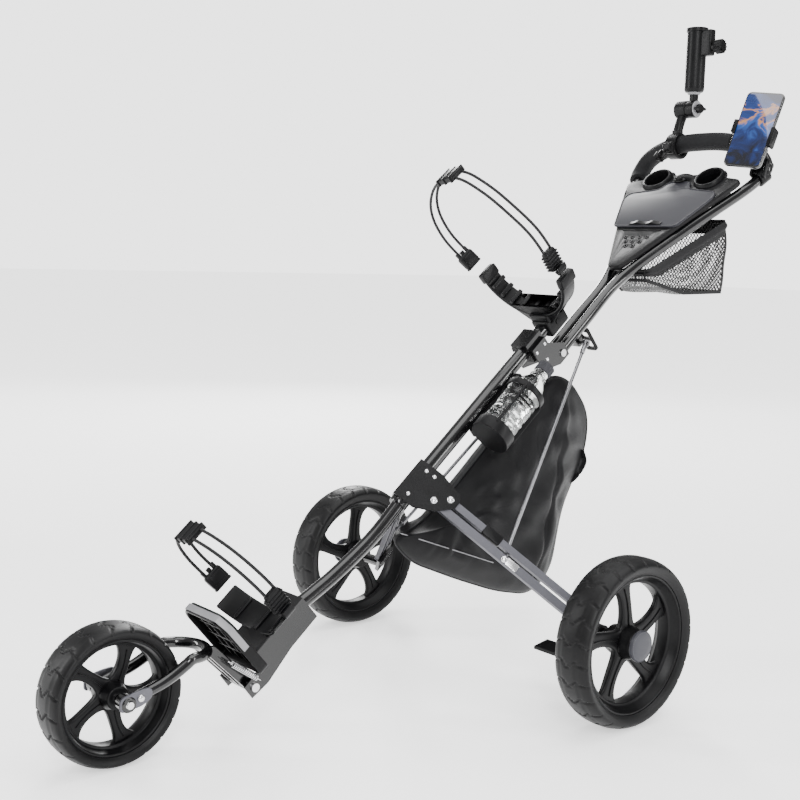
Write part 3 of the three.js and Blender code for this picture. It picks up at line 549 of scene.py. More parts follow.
studio = {"world": 0.45, "sky": 3.0, "lamps": {
    "top": ((0.2, 0.2, 3.6), (0, 0, 0.3), (3.4, 3.4), 150.0),
    "key": ((2.6, -2.2, 2.4), (0, 0, 0.5), (0.7, 2.2), 130.0),
    "side": ((3.0, 1.4, 1.5), (0, 0, 0.5), (0.4, 2.4), 60.0),
    "back": ((-2.8, 1.9, 2.4), (0, 0, 0.5), (0.7, 2.6), 130.0),
    "left": ((-2.4, -2.6, 1.8), (0, 0, 0.4), (0.5, 2.4), 90.0)}}

# Bows of elastic cord over the bag.
cordRadius = 0.0025
upperBow = {"t": 0.390, "frame": onTube, "path": [
    (-0.112, 0.122), (-0.128, 0.150), (-0.141, 0.185), (-0.140, 0.228), (-0.120, 0.268), (-0.075, 0.305),
    (-0.024, 0.312), (0.014, 0.285), (0.048, 0.240), (0.072, 0.195), (0.080, 0.150), (0.080, 0.122)],
    "buckle": (-0.122, 0.136, -28.0), "hook": (0.080, 0.140, 0.0), "slider": (-0.050, 0.312, 78.0)}
lowerBow = {"t": -0.046, "frame": onFoot, "path": [
    (-0.084, 0.082), (-0.098, 0.104), (-0.106, 0.132), (-0.098, 0.165), (-0.068, 0.195), (-0.022, 0.204),
    (0.020, 0.188), (0.052, 0.158), (0.072, 0.120), (0.076, 0.084)],
    "buckle": (-0.087, 0.090, -28.0), "hook": (0.076, 0.092, 0.0), "slider": (-0.040, 0.201, 82.0)}


def bowSpot(bow, key):
    # A frame on the bow: x and z turned about the tube's direction.
    x, u, turn = bow[key]
    c, s = math.cos(math.radians(turn)), math.sin(math.radians(turn))
    start = bow["frame"]([[x, bow["t"], u]])[0]
    return spot(start, c * across - s * lift, along, s * across + c * lift)


def addBow(word, bow):
    # A bow is two elastic cords side by side with a slider over both.
    place = bowSpot(bow, "slider")
    sliderBody = slab(roundBox(0.010, 0.044, 0.004), -0.017, 0.017, spot(
        place([[0, 0, 0]])[0], place([[1, 0, 0]])[0] - place([[0, 0, 0]])[0],
        place([[0, 0, 1]])[0] - place([[0, 0, 0]])[0], along), 0.0025)
    ribs = [slab(roundBox(0.0118, 0.004, 0.0015), -0.0185, 0.0185, spot(
        place([[0, 0, z]])[0], place([[1, 0, 0]])[0] - place([[0, 0, 0]])[0],
        place([[0, 0, 1]])[0] - place([[0, 0, 0]])[0], along), 0.0012) for z in (-0.017, 0.0, 0.017)]
    slider = makePiece(f"{word}_bow_slider", [sliderBody, *ribs], "black_plastic",
                       "frame", [f"{word}_slider"])
    for key, shiftT in (("front", -0.009), ("rear", 0.009)):
        line = [(x, bow["t"] + shiftT, u) for x, u in bow["path"]]
        path = bow["frame"](smoothPath(line, 240))
        name = f"{word}_bow_cord_{key}"
        cord = makePiece(name, [sweepShell(path, circle(cordRadius, 14), along)], "strap",
                         "frame", [f"{word}_bow_cords"])


addBow("upper", upperBow)
addBow("lower", lowerBow)
print("camera and cords placed")


def boxShell(place, x, y, z, corner=0.003, edge=0.0015):
    # A rounded block between two values on each local axis, its rounded outline square to z.
    middle = np.array([(x[0] + x[1]) / 2, (y[0] + y[1]) / 2])
    return slab(roundBox(x[1] - x[0], y[1] - y[0], corner) + middle, z[0], z[1], place, edge)


def turnFrame(place, first, second, third):
    # The same place with its axes taken in another order.
    start = place([[0, 0, 0]])[0]
    axes = [place([axis])[0] - start for axis in np.eye(3)]
    return spot(start, axes[first], axes[second], axes[third])


def addBowEnds(word, bow):
    # A buckle at one foot of each bow and a hook at the other.
    place = bowSpot(bow, "buckle")
    face = turnFrame(place, 1, 2, 0)
    shells = [
        boxShell(face, (-0.016, 0.016), (-0.017, 0.010), (-0.006, 0.006), 0.006, 0.0028),
        boxShell(face, (-0.0115, 0.0115), (-0.012, 0.004), (0.0052, 0.0072), 0.004, 0.0009),
        boxShell(face, (-0.013, -0.0085), (0.006, 0.0185), (-0.004, 0.004), 0.0018, 0.0012),
        boxShell(face, (0.0085, 0.013), (0.006, 0.0185), (-0.004, 0.004), 0.0018, 0.0012),
        boxShell(face, (-0.0035, 0.0035), (0.006, 0.0165), (-0.0035, 0.0035), 0.0018, 0.0012),
        boxShell(face, (-0.0165, 0.0165), (-0.019, -0.0145), (-0.0045, 0.0045), 0.002, 0.0015)]
    makePiece(f"{word}_bow_buckle", shells, "black_plastic", "frame", [f"{word}_buckle"])
    place = bowSpot(bow, "hook")
    face = turnFrame(place, 1, 2, 0)
    shells = [boxShell(face, (-0.013, 0.013), (-0.020, 0.018), (-0.0055, 0.0055), 0.006, 0.0025)]
    shells += [boxShell(face, (-0.0148, 0.0148), (y - 0.0017, y + 0.0017), (-0.007, 0.007), 0.0015, 0.001)
               for y in (-0.015, -0.009, -0.003, 0.003, 0.009)]
    lip = place(np.array([(0.004, 0, -0.020), (0.009, 0, -0.026), (0.013, 0, -0.021), (0.013, 0, -0.013)]))
    shells.append(sweepShell(smoothPath(lip, 24), roundBox(0.0045, 0.020, 0.0015), along, 0.001))
    makePiece(f"{word}_bow_hook", shells, "black_plastic", "frame", [f"{word}_hook"])


addBowEnds("upper", upperBow)
addBowEnds("lower", lowerBow)
print("bow fittings made")

# Wheels.
tyre = {"columns": 540, "rows": 44, "grooveDepth": 0.0017, "grooveWidth": 0.0034, "pitch": 0.031}


def tyreShell(centre, radius, width):
    # The section is a smooth curve over sidewalls and crown; slanted grooves are pressed in where
    # the count of blocks round the tyre, shifted by the distance from the middle, is near a whole number.
    half = width / 2
    section = smoothPath([
        (radius * 0.82, -half * 0.80), (radius * 0.865, -half * 0.93), (radius * 0.93, -half * 0.985),
        (radius * 0.985, -half * 0.60), (radius, 0), (radius * 0.985, half * 0.60),
        (radius * 0.93, half * 0.985), (radius * 0.865, half * 0.93), (radius * 0.82, half * 0.80)],
        tyre["rows"])
    turn = np.arange(tyre["columns"]) * 2 * math.pi / tyre["columns"]
    r, x = section[:, :1], section[:, 1:]
    share = np.abs(x) / half
    blocks = round(2 * math.pi * radius / tyre["pitch"])
    onTread = ease(0.90, 0.94, r / radius)
    inner = blocks * turn / (2 * math.pi) + 0.95 * share
    outer = blocks * turn / (2 * math.pi) + 0.45 - 0.35 * share
    slash = 0
    for phase, zone in ((inner, 1 - ease(0.42, 0.50, share)), (outer, ease(0.52, 0.60, share))):
        distance = np.abs((phase % 1.0) - 0.5) * tyre["pitch"]
        slash = slash + zone * (1 - ease(tyre["grooveWidth"] * 0.3, tyre["grooveWidth"] * 0.6, distance))
    line = np.exp(-((share - 0.52) / 0.035) ** 2) * 0.5
    deep = tyre["grooveDepth"] * onTread * np.maximum(slash, line)
    radii = r - deep
    points = np.stack([np.broadcast_to(x, radii.shape), radii * np.cos(turn), radii * np.sin(turn)],
                      -1) + centre
    return gridShell(points, rowsClosed=True)


def squareOff(values, power):
    # Squares off a circle's sine or cosine: its sign times its size to a power below 1.
    return np.sign(values) * np.abs(values) ** power


def spokeShell(centre, start, end, width, depth, turn, swirl):
    # Rows run from hub to rim; the width swells at both ends so the windows come out round.
    r = np.linspace(start, end, 30)
    flare = 0.62 * width * np.exp(-(end - r) / 0.0075) + 0.30 * width * np.exp(-(r - start) / 0.006)
    wide = width * 0.5 * (1.0 - 0.16 * np.sin(math.pi * (r - start) / (end - start))) + flare
    phase = np.arange(28) * 2 * math.pi / 28
    slim = (1 - 0.25 * ((r - start) / (end - start)))[:, None]
    x = depth / 2 * squareOff(np.sin(phase), 0.55)[None] * slim
    y = wide[:, None] * squareOff(np.cos(phase), 0.45)[None]
    lean = swirl * ((r - start) / (end - start))[:, None] ** 2
    angle = turn + lean
    points = np.stack([
        x, r[:, None] * np.cos(angle) - y * np.sin(angle), r[:, None] * np.sin(angle) + y * np.cos(angle)],
        -1)
    return gridShell(points + centre)


def addWheel(prefix, centre, radius, width, hub, body, outward, spin):
    # Tyre, then a rim turned from its section, a hub, and five curved spokes with thin ridges.
    half = width / 2
    seat = radius * 0.82 - 0.0003
    rim = radius * 0.70
    lip = half * 0.78
    makePiece(f"{prefix}_tyre_tread", [tyreShell(centre, radius, width)], "tyre_rubber",
              body, [f"{prefix}_tyre"])
    axis = [1.0, 0, 0]
    ring = rounded([
        (seat, -lip), (seat, lip), (seat - 0.0032, lip), (seat - 0.0042, lip * 0.90),
        (rim + 0.0045, lip * 0.46), (rim + 0.0005, lip * 0.42), (rim, 0), (rim + 0.0005, -lip * 0.42),
        (rim + 0.0045, -lip * 0.46),
        (seat - 0.0042, -lip * 0.90), (seat - 0.0032, -lip)], 0.0012, 3)
    shells = [turnedShell(ring, centre, axis, 120, True)]
    barrel = rounded([
        (0.0056, -half * 0.80), (hub * 0.80, -half * 0.80), (hub * 0.86, -half * 0.62), (hub, -0.010),
        (hub, 0.010), (hub * 0.86, half * 0.62), (hub * 0.80, half * 0.80), (0.0056, half * 0.80)], 0.002,
        4)
    shells.append(turnedShell(barrel, centre, axis, 64, True))
    for k in range(5):
        turn = spin + 2 * math.pi * k / 5
        shells.append(spokeShell(centre, hub * 0.8, rim + 0.003, radius * 0.20, 0.014,
                                 turn, 0.16 * outward))
        for side in (-1, 1):
            r = np.linspace(hub, rim - 0.006, 12)
            angle = turn + 0.16 * outward * ((r - hub * 0.8) / (rim + 0.003 - hub * 0.8)) ** 2
            line = np.stack([side * (0.0072 - 0.0017 * (r - hub) / (rim - hub)),
                             r * np.cos(angle), r * np.sin(angle)], 1)
            shells.append(sweepShell(line + centre, roundBox(0.0022, 0.0030, 0.0009), axis, 0.0007))
    makePiece(f"{prefix}_rim_spokes", shells, "black_plastic", body, [f"{prefix}_rim"], 42.0)


def addWheels():
    # Two rear wheels with caps and the front wheel on its axle.
    rear = {"radius": 0.130, "width": 0.062}
    for word, side in (("left", 1), ("right", -1)):
        centre = pivotOf(f"{word}_wheel_spin")
        centre = np.array([side * 0.327, centre[1], centre[2]])
        addWheel(f"{word}_wheel", centre, rear["radius"], rear["width"], 0.026, f"{word}_roller",
                 side, 1.62)
        face = rear["width"] / 2 * 0.8 + 0.0003
        cap = [(0.002, 0.0), (0.0212, 0.0), (0.0236, 0.0015), (0.024, 0.004),
               (0.0236, 0.0068), (0.0222, 0.0082),
               (0.0212, 0.0078), (0.0203, 0.0082), (0.012, 0.0088), (0.002, 0.009)]
        shell = turnedShell(cap, centre + [side * face, 0, 0], [side, 0, 0], 72)
        makePiece(f"{word}_wheel_cap_disc", [shell], "hub_grey", f"{word}_roller",
                  [f"{word}_wheel_hub_cap"], 50.0)
    low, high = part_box("front_wheel_tyre")
    centre = np.array((low + high) / 2)
    addWheel("front_wheel", centre, 0.098, 0.062, 0.020, "front_roller", 1, 1.10)
    print("wheels made")


addWheels()

# Tubes and push rods.
handleSide = [
    (0.012, 0.346, -0.052), (0.012, 0.450, -0.052), (0.012, 0.545, -0.052), (0.026, 0.600, -0.052),
    (0.080, 0.722, -0.053), (0.136, 0.850, -0.057), (0.146, 0.886, -0.052), (0.130, 0.908, -0.036),
    (0.070, 0.920, -0.015)]
handleLoop = handleSide + [(0, 0.923, -0.010)] + [(-x, t, u) for x, t, u in handleSide[::-1]]
tubes = {"upper": 0.013, "lower": 0.011, "handle": 0.010, "grip": 0.017, "gripFrom": 0.445, "gripTo": 0.70}
crank = {"t": 0.4142, "u": -0.0727, "x": 0.027}


def addTubes():
    # Main tube in two lengths, the handle loop with its crank, the grip and the push rods.
    line = np.linspace((0, -0.040, 0), (0, 0.418, 0), 12)
    makePiece("main_tube_upper_skin", [sweepShell(onTube(line), circle(tubes["upper"], 48), across, 0.002)],
              "black_paint", "frame", ["main_tube_upper"])
    bend = smoothPath([(0, -0.287, 0.023), (0, -0.250, 0.0145), (0, -0.212, 0.007), (0, -0.128, -0.003),
                       (0, -0.070, -0.002), (0, -0.041, 0)], 60)
    sleeve = [(tubes["upper"] + 0.0016, -0.0575), (tubes["upper"] + 0.0022, -0.056),
              (tubes["upper"] + 0.0022, -0.0415), (tubes["upper"] + 0.0016, -0.0405)]
    shells = [sweepShell(onTube(bend), circle(tubes["lower"], 48), across, 0.001),
              turnedShell(sleeve, tubeStart, along, 48)]
    makePiece("main_tube_lower_skin", shells, "black_paint", "frame", ["main_tube_lower"])
    loop = smoothPath(handleLoop, 420)
    lug = rounded([(crank["t"] - 0.011, -0.050), (crank["t"] + 0.011, -0.050),
                   (crank["t"] + 0.007, crank["u"] - 0.006),
                   (crank["t"] - 0.007, crank["u"] - 0.006)], 0.004)
    side = spot(tubeStart, along, lift, across)
    shells = [
        sweepShell(onTube(loop), circle(tubes["handle"], 32), lift, 0.001),
        slab(lug, -0.016, 0.016, side, 0.0015),
        rod(onTube([(-0.032, crank["t"], crank["u"])])[0], onTube([(0.032, crank["t"], crank["u"])])[0],
            0.003)]
    for turn in (0.345, 0.655):
        place = smoothPath(handleLoop, 3, turn - 0.004, turn + 0.004)
        shells.append(sweepShell(onTube(place), circle(tubes["handle"] + 0.0016, 32), lift, 0.0008))
    makePiece("handle_loop", shells, "black_paint", "handle", ["handle_tube"])
    path = smoothPath(handleLoop, 150, tubes["gripFrom"], tubes["gripTo"])
    ripple = 1 + 0.006 * np.sin(np.linspace(0, 9, 150)) * np.sin(np.linspace(0, 31, 150))
    grip = makePiece("foam_grip_sleeve", [sweepShell(onTube(path), circle(tubes["grip"], 40), lift, 0.003,
                                                     swell=ripple)], "foam", "handle", ["foam_grip"])
    for word, side in (("left", 1), ("right", -1)):
        top, bottom = rodEnds(side)
        direction = unit(bottom - top)
        eye = turnedShell(rounded([(0.0033, -0.004), (0.0070, -0.004), (0.0070, 0.004), (0.0033, 0.004)],
                                  0.001, 3),
                          top, across, 32, True)
        start = top + 0.006 * direction
        ends = [start, start + 0.018 * direction, bottom - 0.02 * direction, bottom]
        shells = [eye, rod(start, bottom, 0.003), rod(ends[0], ends[1], 0.0042, 0.0012),
                  rod(ends[2], ends[3], 0.0040, 0.0012)]
        makePiece(f"{word}_rod_bar", shells, "dull_steel", f"{word}_rod", [f"{word}_push_rod"])
    print("tubes made")


def rodEnds(side):
    # The rod runs from the handle's crank to beside the middle of the lower strut.
    top = onTube([(side * crank["x"], crank["t"], crank["u"])])[0]
    bottom = onTube([(side * 0.1301, -0.0257, -0.1344)])[0]
    return top, bottom


addTubes()


# Cradles, foot and fork.
def arcBand(place, radius, thick, centreU, halfTurn, t, wide, edge=0.0022):
    turn = np.linspace(-halfTurn, halfTurn, 72)
    middle = radius + thick / 2
    line = np.stack([middle * np.sin(turn), np.full(72, t), centreU - middle * np.cos(turn)], 1)
    return sweepShell(place(line), roundBox(thick, wide, 0.0025), along, edge)


def addUpperCradle():
    # A curved saddle on two gussets, with ribs across it.
    band = {"radius": 0.086, "thick": 0.007, "centre": 0.113, "turn": 1.42, "t": 0.390}
    shells = [arcBand(onTube, band["radius"], band["thick"], band["centre"], band["turn"],
                      band["t"], 0.034)]
    for turn in (-1.2, -0.95, -0.7, -0.45, -0.18, 0.1, 0.34, 0.58, 0.82, 1.06):
        c, s = math.cos(turn), math.sin(turn)
        start = onTube([((band["radius"] - 0.002) * s, band["t"],
                         band["centre"] - (band["radius"] - 0.002) * c)])[0]
        outward = s * across - c * lift
        place = spot(start, c * across + s * lift, along, outward)
        tall = 0.0075 if abs(turn) > 0.3 else 0.005
        shells.append(boxShell(place, (-0.0042, 0.0042), (-0.0155, 0.0155), (-tall, 0.004), 0.003, 0.002))
    for side in (-1, 1):
        turn = side * band["turn"]
        c, s = math.cos(turn), math.sin(turn)
        middle = band["radius"] + 0.0035
        start = onTube([(middle * s, band["t"], band["centre"] - middle * c)])[0]
        place = spot(start, c * across + s * lift, along, s * across - c * lift)
        shells.append(boxShell(place, (-0.012, 0.008), (-0.0185, 0.0185), (-0.006, 0.007), 0.004, 0.002))
    shells.append(boxShell(onTube, (-0.019, 0.019), (0.364, 0.416), (-0.0155, 0.016), 0.006, 0.003))
    shells.append(boxShell(onTube, (-0.022, 0.022), (0.368, 0.412), (0.012, 0.027), 0.006, 0.003))
    for t in (0.376, 0.404):
        gusset = rounded([(-0.062, 0.046), (-0.022, 0.008), (0.022, 0.008), (0.062, 0.046), (0, 0.022)],
                         0.004)
        shells.append(slab(gusset, -0.0025, 0.0025, spot(onTube([(0, t, 0)])[0], across, lift, along),
                           0.001))
    for side in (-1, 1):
        shells.append(rod(onTube([(side * 0.018, 0.390, 0)])[0],
                          onTube([(side * 0.0205, 0.390, 0)])[0], 0.006))
    makePiece("upper_cradle_yoke", shells, "black_plastic", "frame", ["upper_cradle"])


def addFootParts():
    # Base cradle, tray with its lip, and the spring between tray and bracket: a helix.
    shells = [arcBand(onFoot, 0.105, 0.004, 0.136, 0.78, -0.056, 0.044),
              boxShell(onFoot, (-0.034, 0.034), (-0.106, -0.070), (0.0273, 0.0315), 0.004, 0.0015)]
    for x in (-0.045, 0.0, 0.045):
        angle = math.asin(x / 0.107)
        start = onFoot([(x, -0.056, 0.136 - 0.105 * math.cos(angle))])[0]
        shells.append(boxShell(spot(start, math.cos(angle) * across + math.sin(angle) * lift, along,
                                    math.cos(angle) * lift - math.sin(angle) * across),
                               (-0.003, 0.003), (-0.019, 0.019), (-0.002, 0.0035), 0.002, 0.0012))
    makePiece("base_cradle_saddle", shells, "black_plastic", "frame", ["base_cradle"])
    outline = rounded([(-0.040, 0.122), (-0.054, 0.104), (-0.054, 0.008), (0.054, 0.008), (0.054, 0.104),
                       (0.040, 0.122)], 0.010, 6)
    place = spot(footStart, across, lift, along)
    shells = [slab(outline, -0.1125, -0.109, place, 0.0012)]
    wall = inset(outline, 0.0022)
    line = place(np.column_stack([wall, np.full(len(wall), -0.1178)]))
    shells.append(sweepShell(line, roundBox(0.0042, 0.0158, 0.0018, 4), along, closed=True))
    for x in (-0.030, -0.010, 0.010, 0.030):
        shells.append(boxShell(place, (x - 0.0012, x + 0.0012), (0.012, 0.114), (-0.118, -0.111),
                               0.0008, 0.0006))
    for u in (0.035, 0.062, 0.089):
        shells.append(boxShell(place, (-0.050, 0.050), (u - 0.0012, u + 0.0012), (-0.118, -0.111),
                               0.0008, 0.0006))
    makePiece("foot_tray_shell", shells, "black_plastic", "frame", ["foot_tray"])
    lip = np.array([(-0.0535, 0.060), (-0.0535, 0.103), (-0.040, 0.1212), (0.040, 0.1212),
                    (0.0535, 0.103), (0.0535, 0.060)])
    path = place(np.column_stack([lip, np.full(len(lip), -0.1178)]))
    dense = np.concatenate([np.linspace(path[i], path[i + 1], 8)[:-1] for i in range(5)] + [path[-1:]])
    makePiece("foot_tray_lip", [sweepShell(dense, roundBox(0.0022, 0.0105, 0.0008, 4), along, 0.0006)],
              "grey_lip_and_highlight", "frame")
    # Coil spring: a helix of wire between two hooks.
    top, bottom = onFoot([(0.0385, -0.145, 0.060)])[0], onFoot([(0.0385, -0.128, -0.006)])[0]
    axis = unit(bottom - top)
    side = unit(np.cross(axis, across))
    share = np.linspace(0, 1, 15 * 20)
    turn = 2 * math.pi * 15 * share
    reach = 0.0042 * ease(0, 0.05, share) * ease(0, 0.05, 1 - share)
    helix = (top + (0.10 + 0.80 * share)[:, None] * (bottom - top)
             + reach[:, None] * (np.cos(turn)[:, None] * across + np.sin(turn)[:, None] * side))
    path = np.vstack([top, helix, bottom])
    makePiece("fork_spring_coil", [sweepShell(path, circle(0.0009, 8), axis + 0.02 * across)],
              "steel", "frame",
              ["fork_spring"])
    print("cradles and foot made")


def addForkParts():
    # A bent tube to both sides of the front wheel, its end plates and bolts.
    x, bendY, bendZ = 0.043, -0.495, 0.137
    hub = np.array(sum(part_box("front_wheel_tyre"), Vector()) / 2)
    arm = [(x, hub[1] + 0.006, hub[2] + 0.001), (x, hub[1] + 0.060, 0.115),
           (x, bendY - 0.008, bendZ - 0.005)]
    turn = np.linspace(0, math.pi, 7)
    bow = np.stack([x * np.cos(turn), bendY + x * np.sin(turn), np.full(7, bendZ)], 1)
    line = np.vstack([arm, bow, [(-a, b, c) for a, b, c in arm[::-1]]])
    path = smoothPath(line, 200)
    shells = [sweepShell(path, circle(0.008, 32), [0.0, -0.25, 1.0], 0.0015)]
    pin = pivotOf("fork_fold")
    apex = bendY + x
    web = rounded([(apex - 0.002, bendZ + 0.005), (apex + 0.006, bendZ + 0.005),
                   (pin[1] + 0.007, pin[2] + 0.006),
                   (pin[1] - 0.004, pin[2] - 0.008), (apex - 0.005, bendZ - 0.006)], 0.003)
    side = spot(np.zeros(3), upright[1], upright[2], across)
    for a, b in ((-0.024, -0.018), (0.018, 0.024), (-0.004, 0.004)):
        shells.append(slab(web, a, b, side, 0.001))
    shells.append(turnedShell(rounded([(0.0043, -0.0295), (0.009, -0.0295), (0.009, 0.0295),
                                       (0.0043, 0.0295)], 0.001),
                              pin, across, 40, True))
    for s in (-1, 1):
        lug = rounded([(0.0053, 0.035), (0.0115, 0.035), (0.0115, 0.052), (0.0095, 0.056),
                       (0.0053, 0.056)], 0.0012)
        shells.append(turnedShell(lug, hub, [s, 0, 0], 40, True))
    makePiece("fork_frame", shells, "black_paint", "fork_arms", ["fork"])
    clamps = []
    bolts = []
    for s in (-1, 1):
        face = spot(hub + [s * 0.0475, 0, 0], upright[1], upright[2], np.array([s, 0.0, 0.0]))
        plate = rounded([(-0.013, -0.010), (0.020, -0.006), (0.036, 0.004), (0.034, 0.018), (0.012, 0.016),
                         (-0.013, 0.010)], 0.007)
        clamps.append(slab(plate, 0.0015, 0.0060, face, 0.0012))
        for y, z in ((-0.001, 0.0), (0.017, 0.006)):
            dome = [(0.0052, 0.0058), (0.0052, 0.0075), (0.0044, 0.0092),
                    (0.0026, 0.0102), (0.0006, 0.0106)]
            bolts.append(turnedShell(dome, face([(y, z, 0)])[0], [s, 0, 0], 28))
    makePiece("fork_end_plates", clamps, "grey_metal", "fork_arms")
    makePiece("fork_end_bolts", bolts, "steel", "fork_arms")
    print("fork made")


addUpperCradle()
addFootParts()
addForkParts()

# Rivets on the brackets and sleeves on the struts.
legWay = {"w": (math.sqrt(0.5), 0, -math.sqrt(0.5)), "n": (math.sqrt(0.5), 0, math.sqrt(0.5))}


def onLeg(side):
    # The leg's frame: out along the leg, up the tube, and out through the flange; mirrored on the right.
    w = side * legWay["w"][0] * across + legWay["w"][2] * lift
    n = side * legWay["n"][0] * across + legWay["n"][2] * lift
    return spot(tubeStart, w, along, n)


def domeShell(place, w, t, height, radius, axis):
    # A rivet head: a low dome turned about the axis.
    dome = [(radius, -0.0006), (radius, 0.0004), (radius * 0.86, radius * 0.30),
            (radius * 0.55, radius * 0.48),
            (0.0006, radius * 0.55)]
    return turnedShell(dome, place([(w, t, height)])[0], axis, 28)


def addRivets():
    # Rivets of both brackets, and the sleeves and the fitting on each strut.
    for word, side in (("left", 1), ("right", -1)):
        place = onLeg(side)
        axis = place([(0, 0, 1)])[0] - place([(0, 0, 0)])[0]
        pivots = ((0.043, -0.019), (0.0633, -0.001))
        rivets = [domeShell(place, w, t, 0.0166, 0.0062, axis) for w, t in pivots]
        rivets += [domeShell(place, w, t, 0.0165, 0.0034, axis) for w,
                   t in ((0.004, 0.014), (0.020, 0.014), (0.004, -0.036))]
        makePiece(f"{word}_bracket_rivets", rivets, "steel", "frame", [f"{word}_leg_rivets"])
        slope = math.atan2(-0.0134, 0.288)

        def at(share, base):
            reach = 0.2883 * share
            return base[0] + reach * math.cos(slope), base[1] + reach * math.sin(slope)

        w, t = at(0.30, pivots[1])
        c, s = math.cos(slope), math.sin(slope)
        local = place([(0, 0, 0)])[0]
        axes = [place([v])[0] - local for v in np.eye(3)]

        def bar(w, t):
            return spot(place([(w, t, 0)])[0], c * axes[0] + s * axes[1],
                        c * axes[1] - s * axes[0], axes[2])

        sleeve = boxShell(bar(w, t), (-0.017, 0.017), (-0.0088, 0.0088), (0.0035, 0.0146), 0.003, 0.0016)
        w, t = at(0.90, pivots[1])
        clamp = boxShell(bar(w, t), (-0.019, 0.012), (-0.0088, 0.0088), (0.0035, 0.0150), 0.003, 0.0016)
        knob = boxShell(bar(w, t), (-0.006, 0.004), (-0.012, 0.012), (0.0060, 0.0125), 0.002, 0.0012)
        makePiece(f"{word}_strut_sleeves", [sleeve, clamp, knob], "black_plastic", f"{word}_link")
        w, t = at(0.50, pivots[0])
        fitting = boxShell(bar(w, t), (0.004, 0.026), (-0.0062, 0.0062), (0.0125, 0.0152), 0.002, 0.0008)
        head = domeShell(place, w, t, 0.0136, 0.0060, axis)
        makePiece(f"{word}_strut_fitting", [fitting, head], "steel", f"{word}_leg")
    shells = []
    for x, t, u in ((0.0255, 0.312, -0.004), (0.0255, 0.336, -0.004), (0.0255, 0.325, -0.030)):
        for side in (-1, 1):
            shells.append(domeShell(onTube, 0, 0, 0, 0.0032, across * side))
            points = shells[-1][0] + (onTube([(side * x, t, u)])[0] - tubeStart)
            shells[-1] = (points, *shells[-1][1:])
    makePiece("collar_rivets", shells, "steel", "frame")
    print("rivets made")


addRivets()

# Console.
console = {"low": -0.0415, "top": -0.031, "cupX": 0.060, "cupT": 0.832, "tees": (
    (0.658, (-0.024, -0.008, 0.008, 0.024)), (0.645, (-0.016, 0.0, 0.016)), (0.632, (-0.008, 0.008)))}


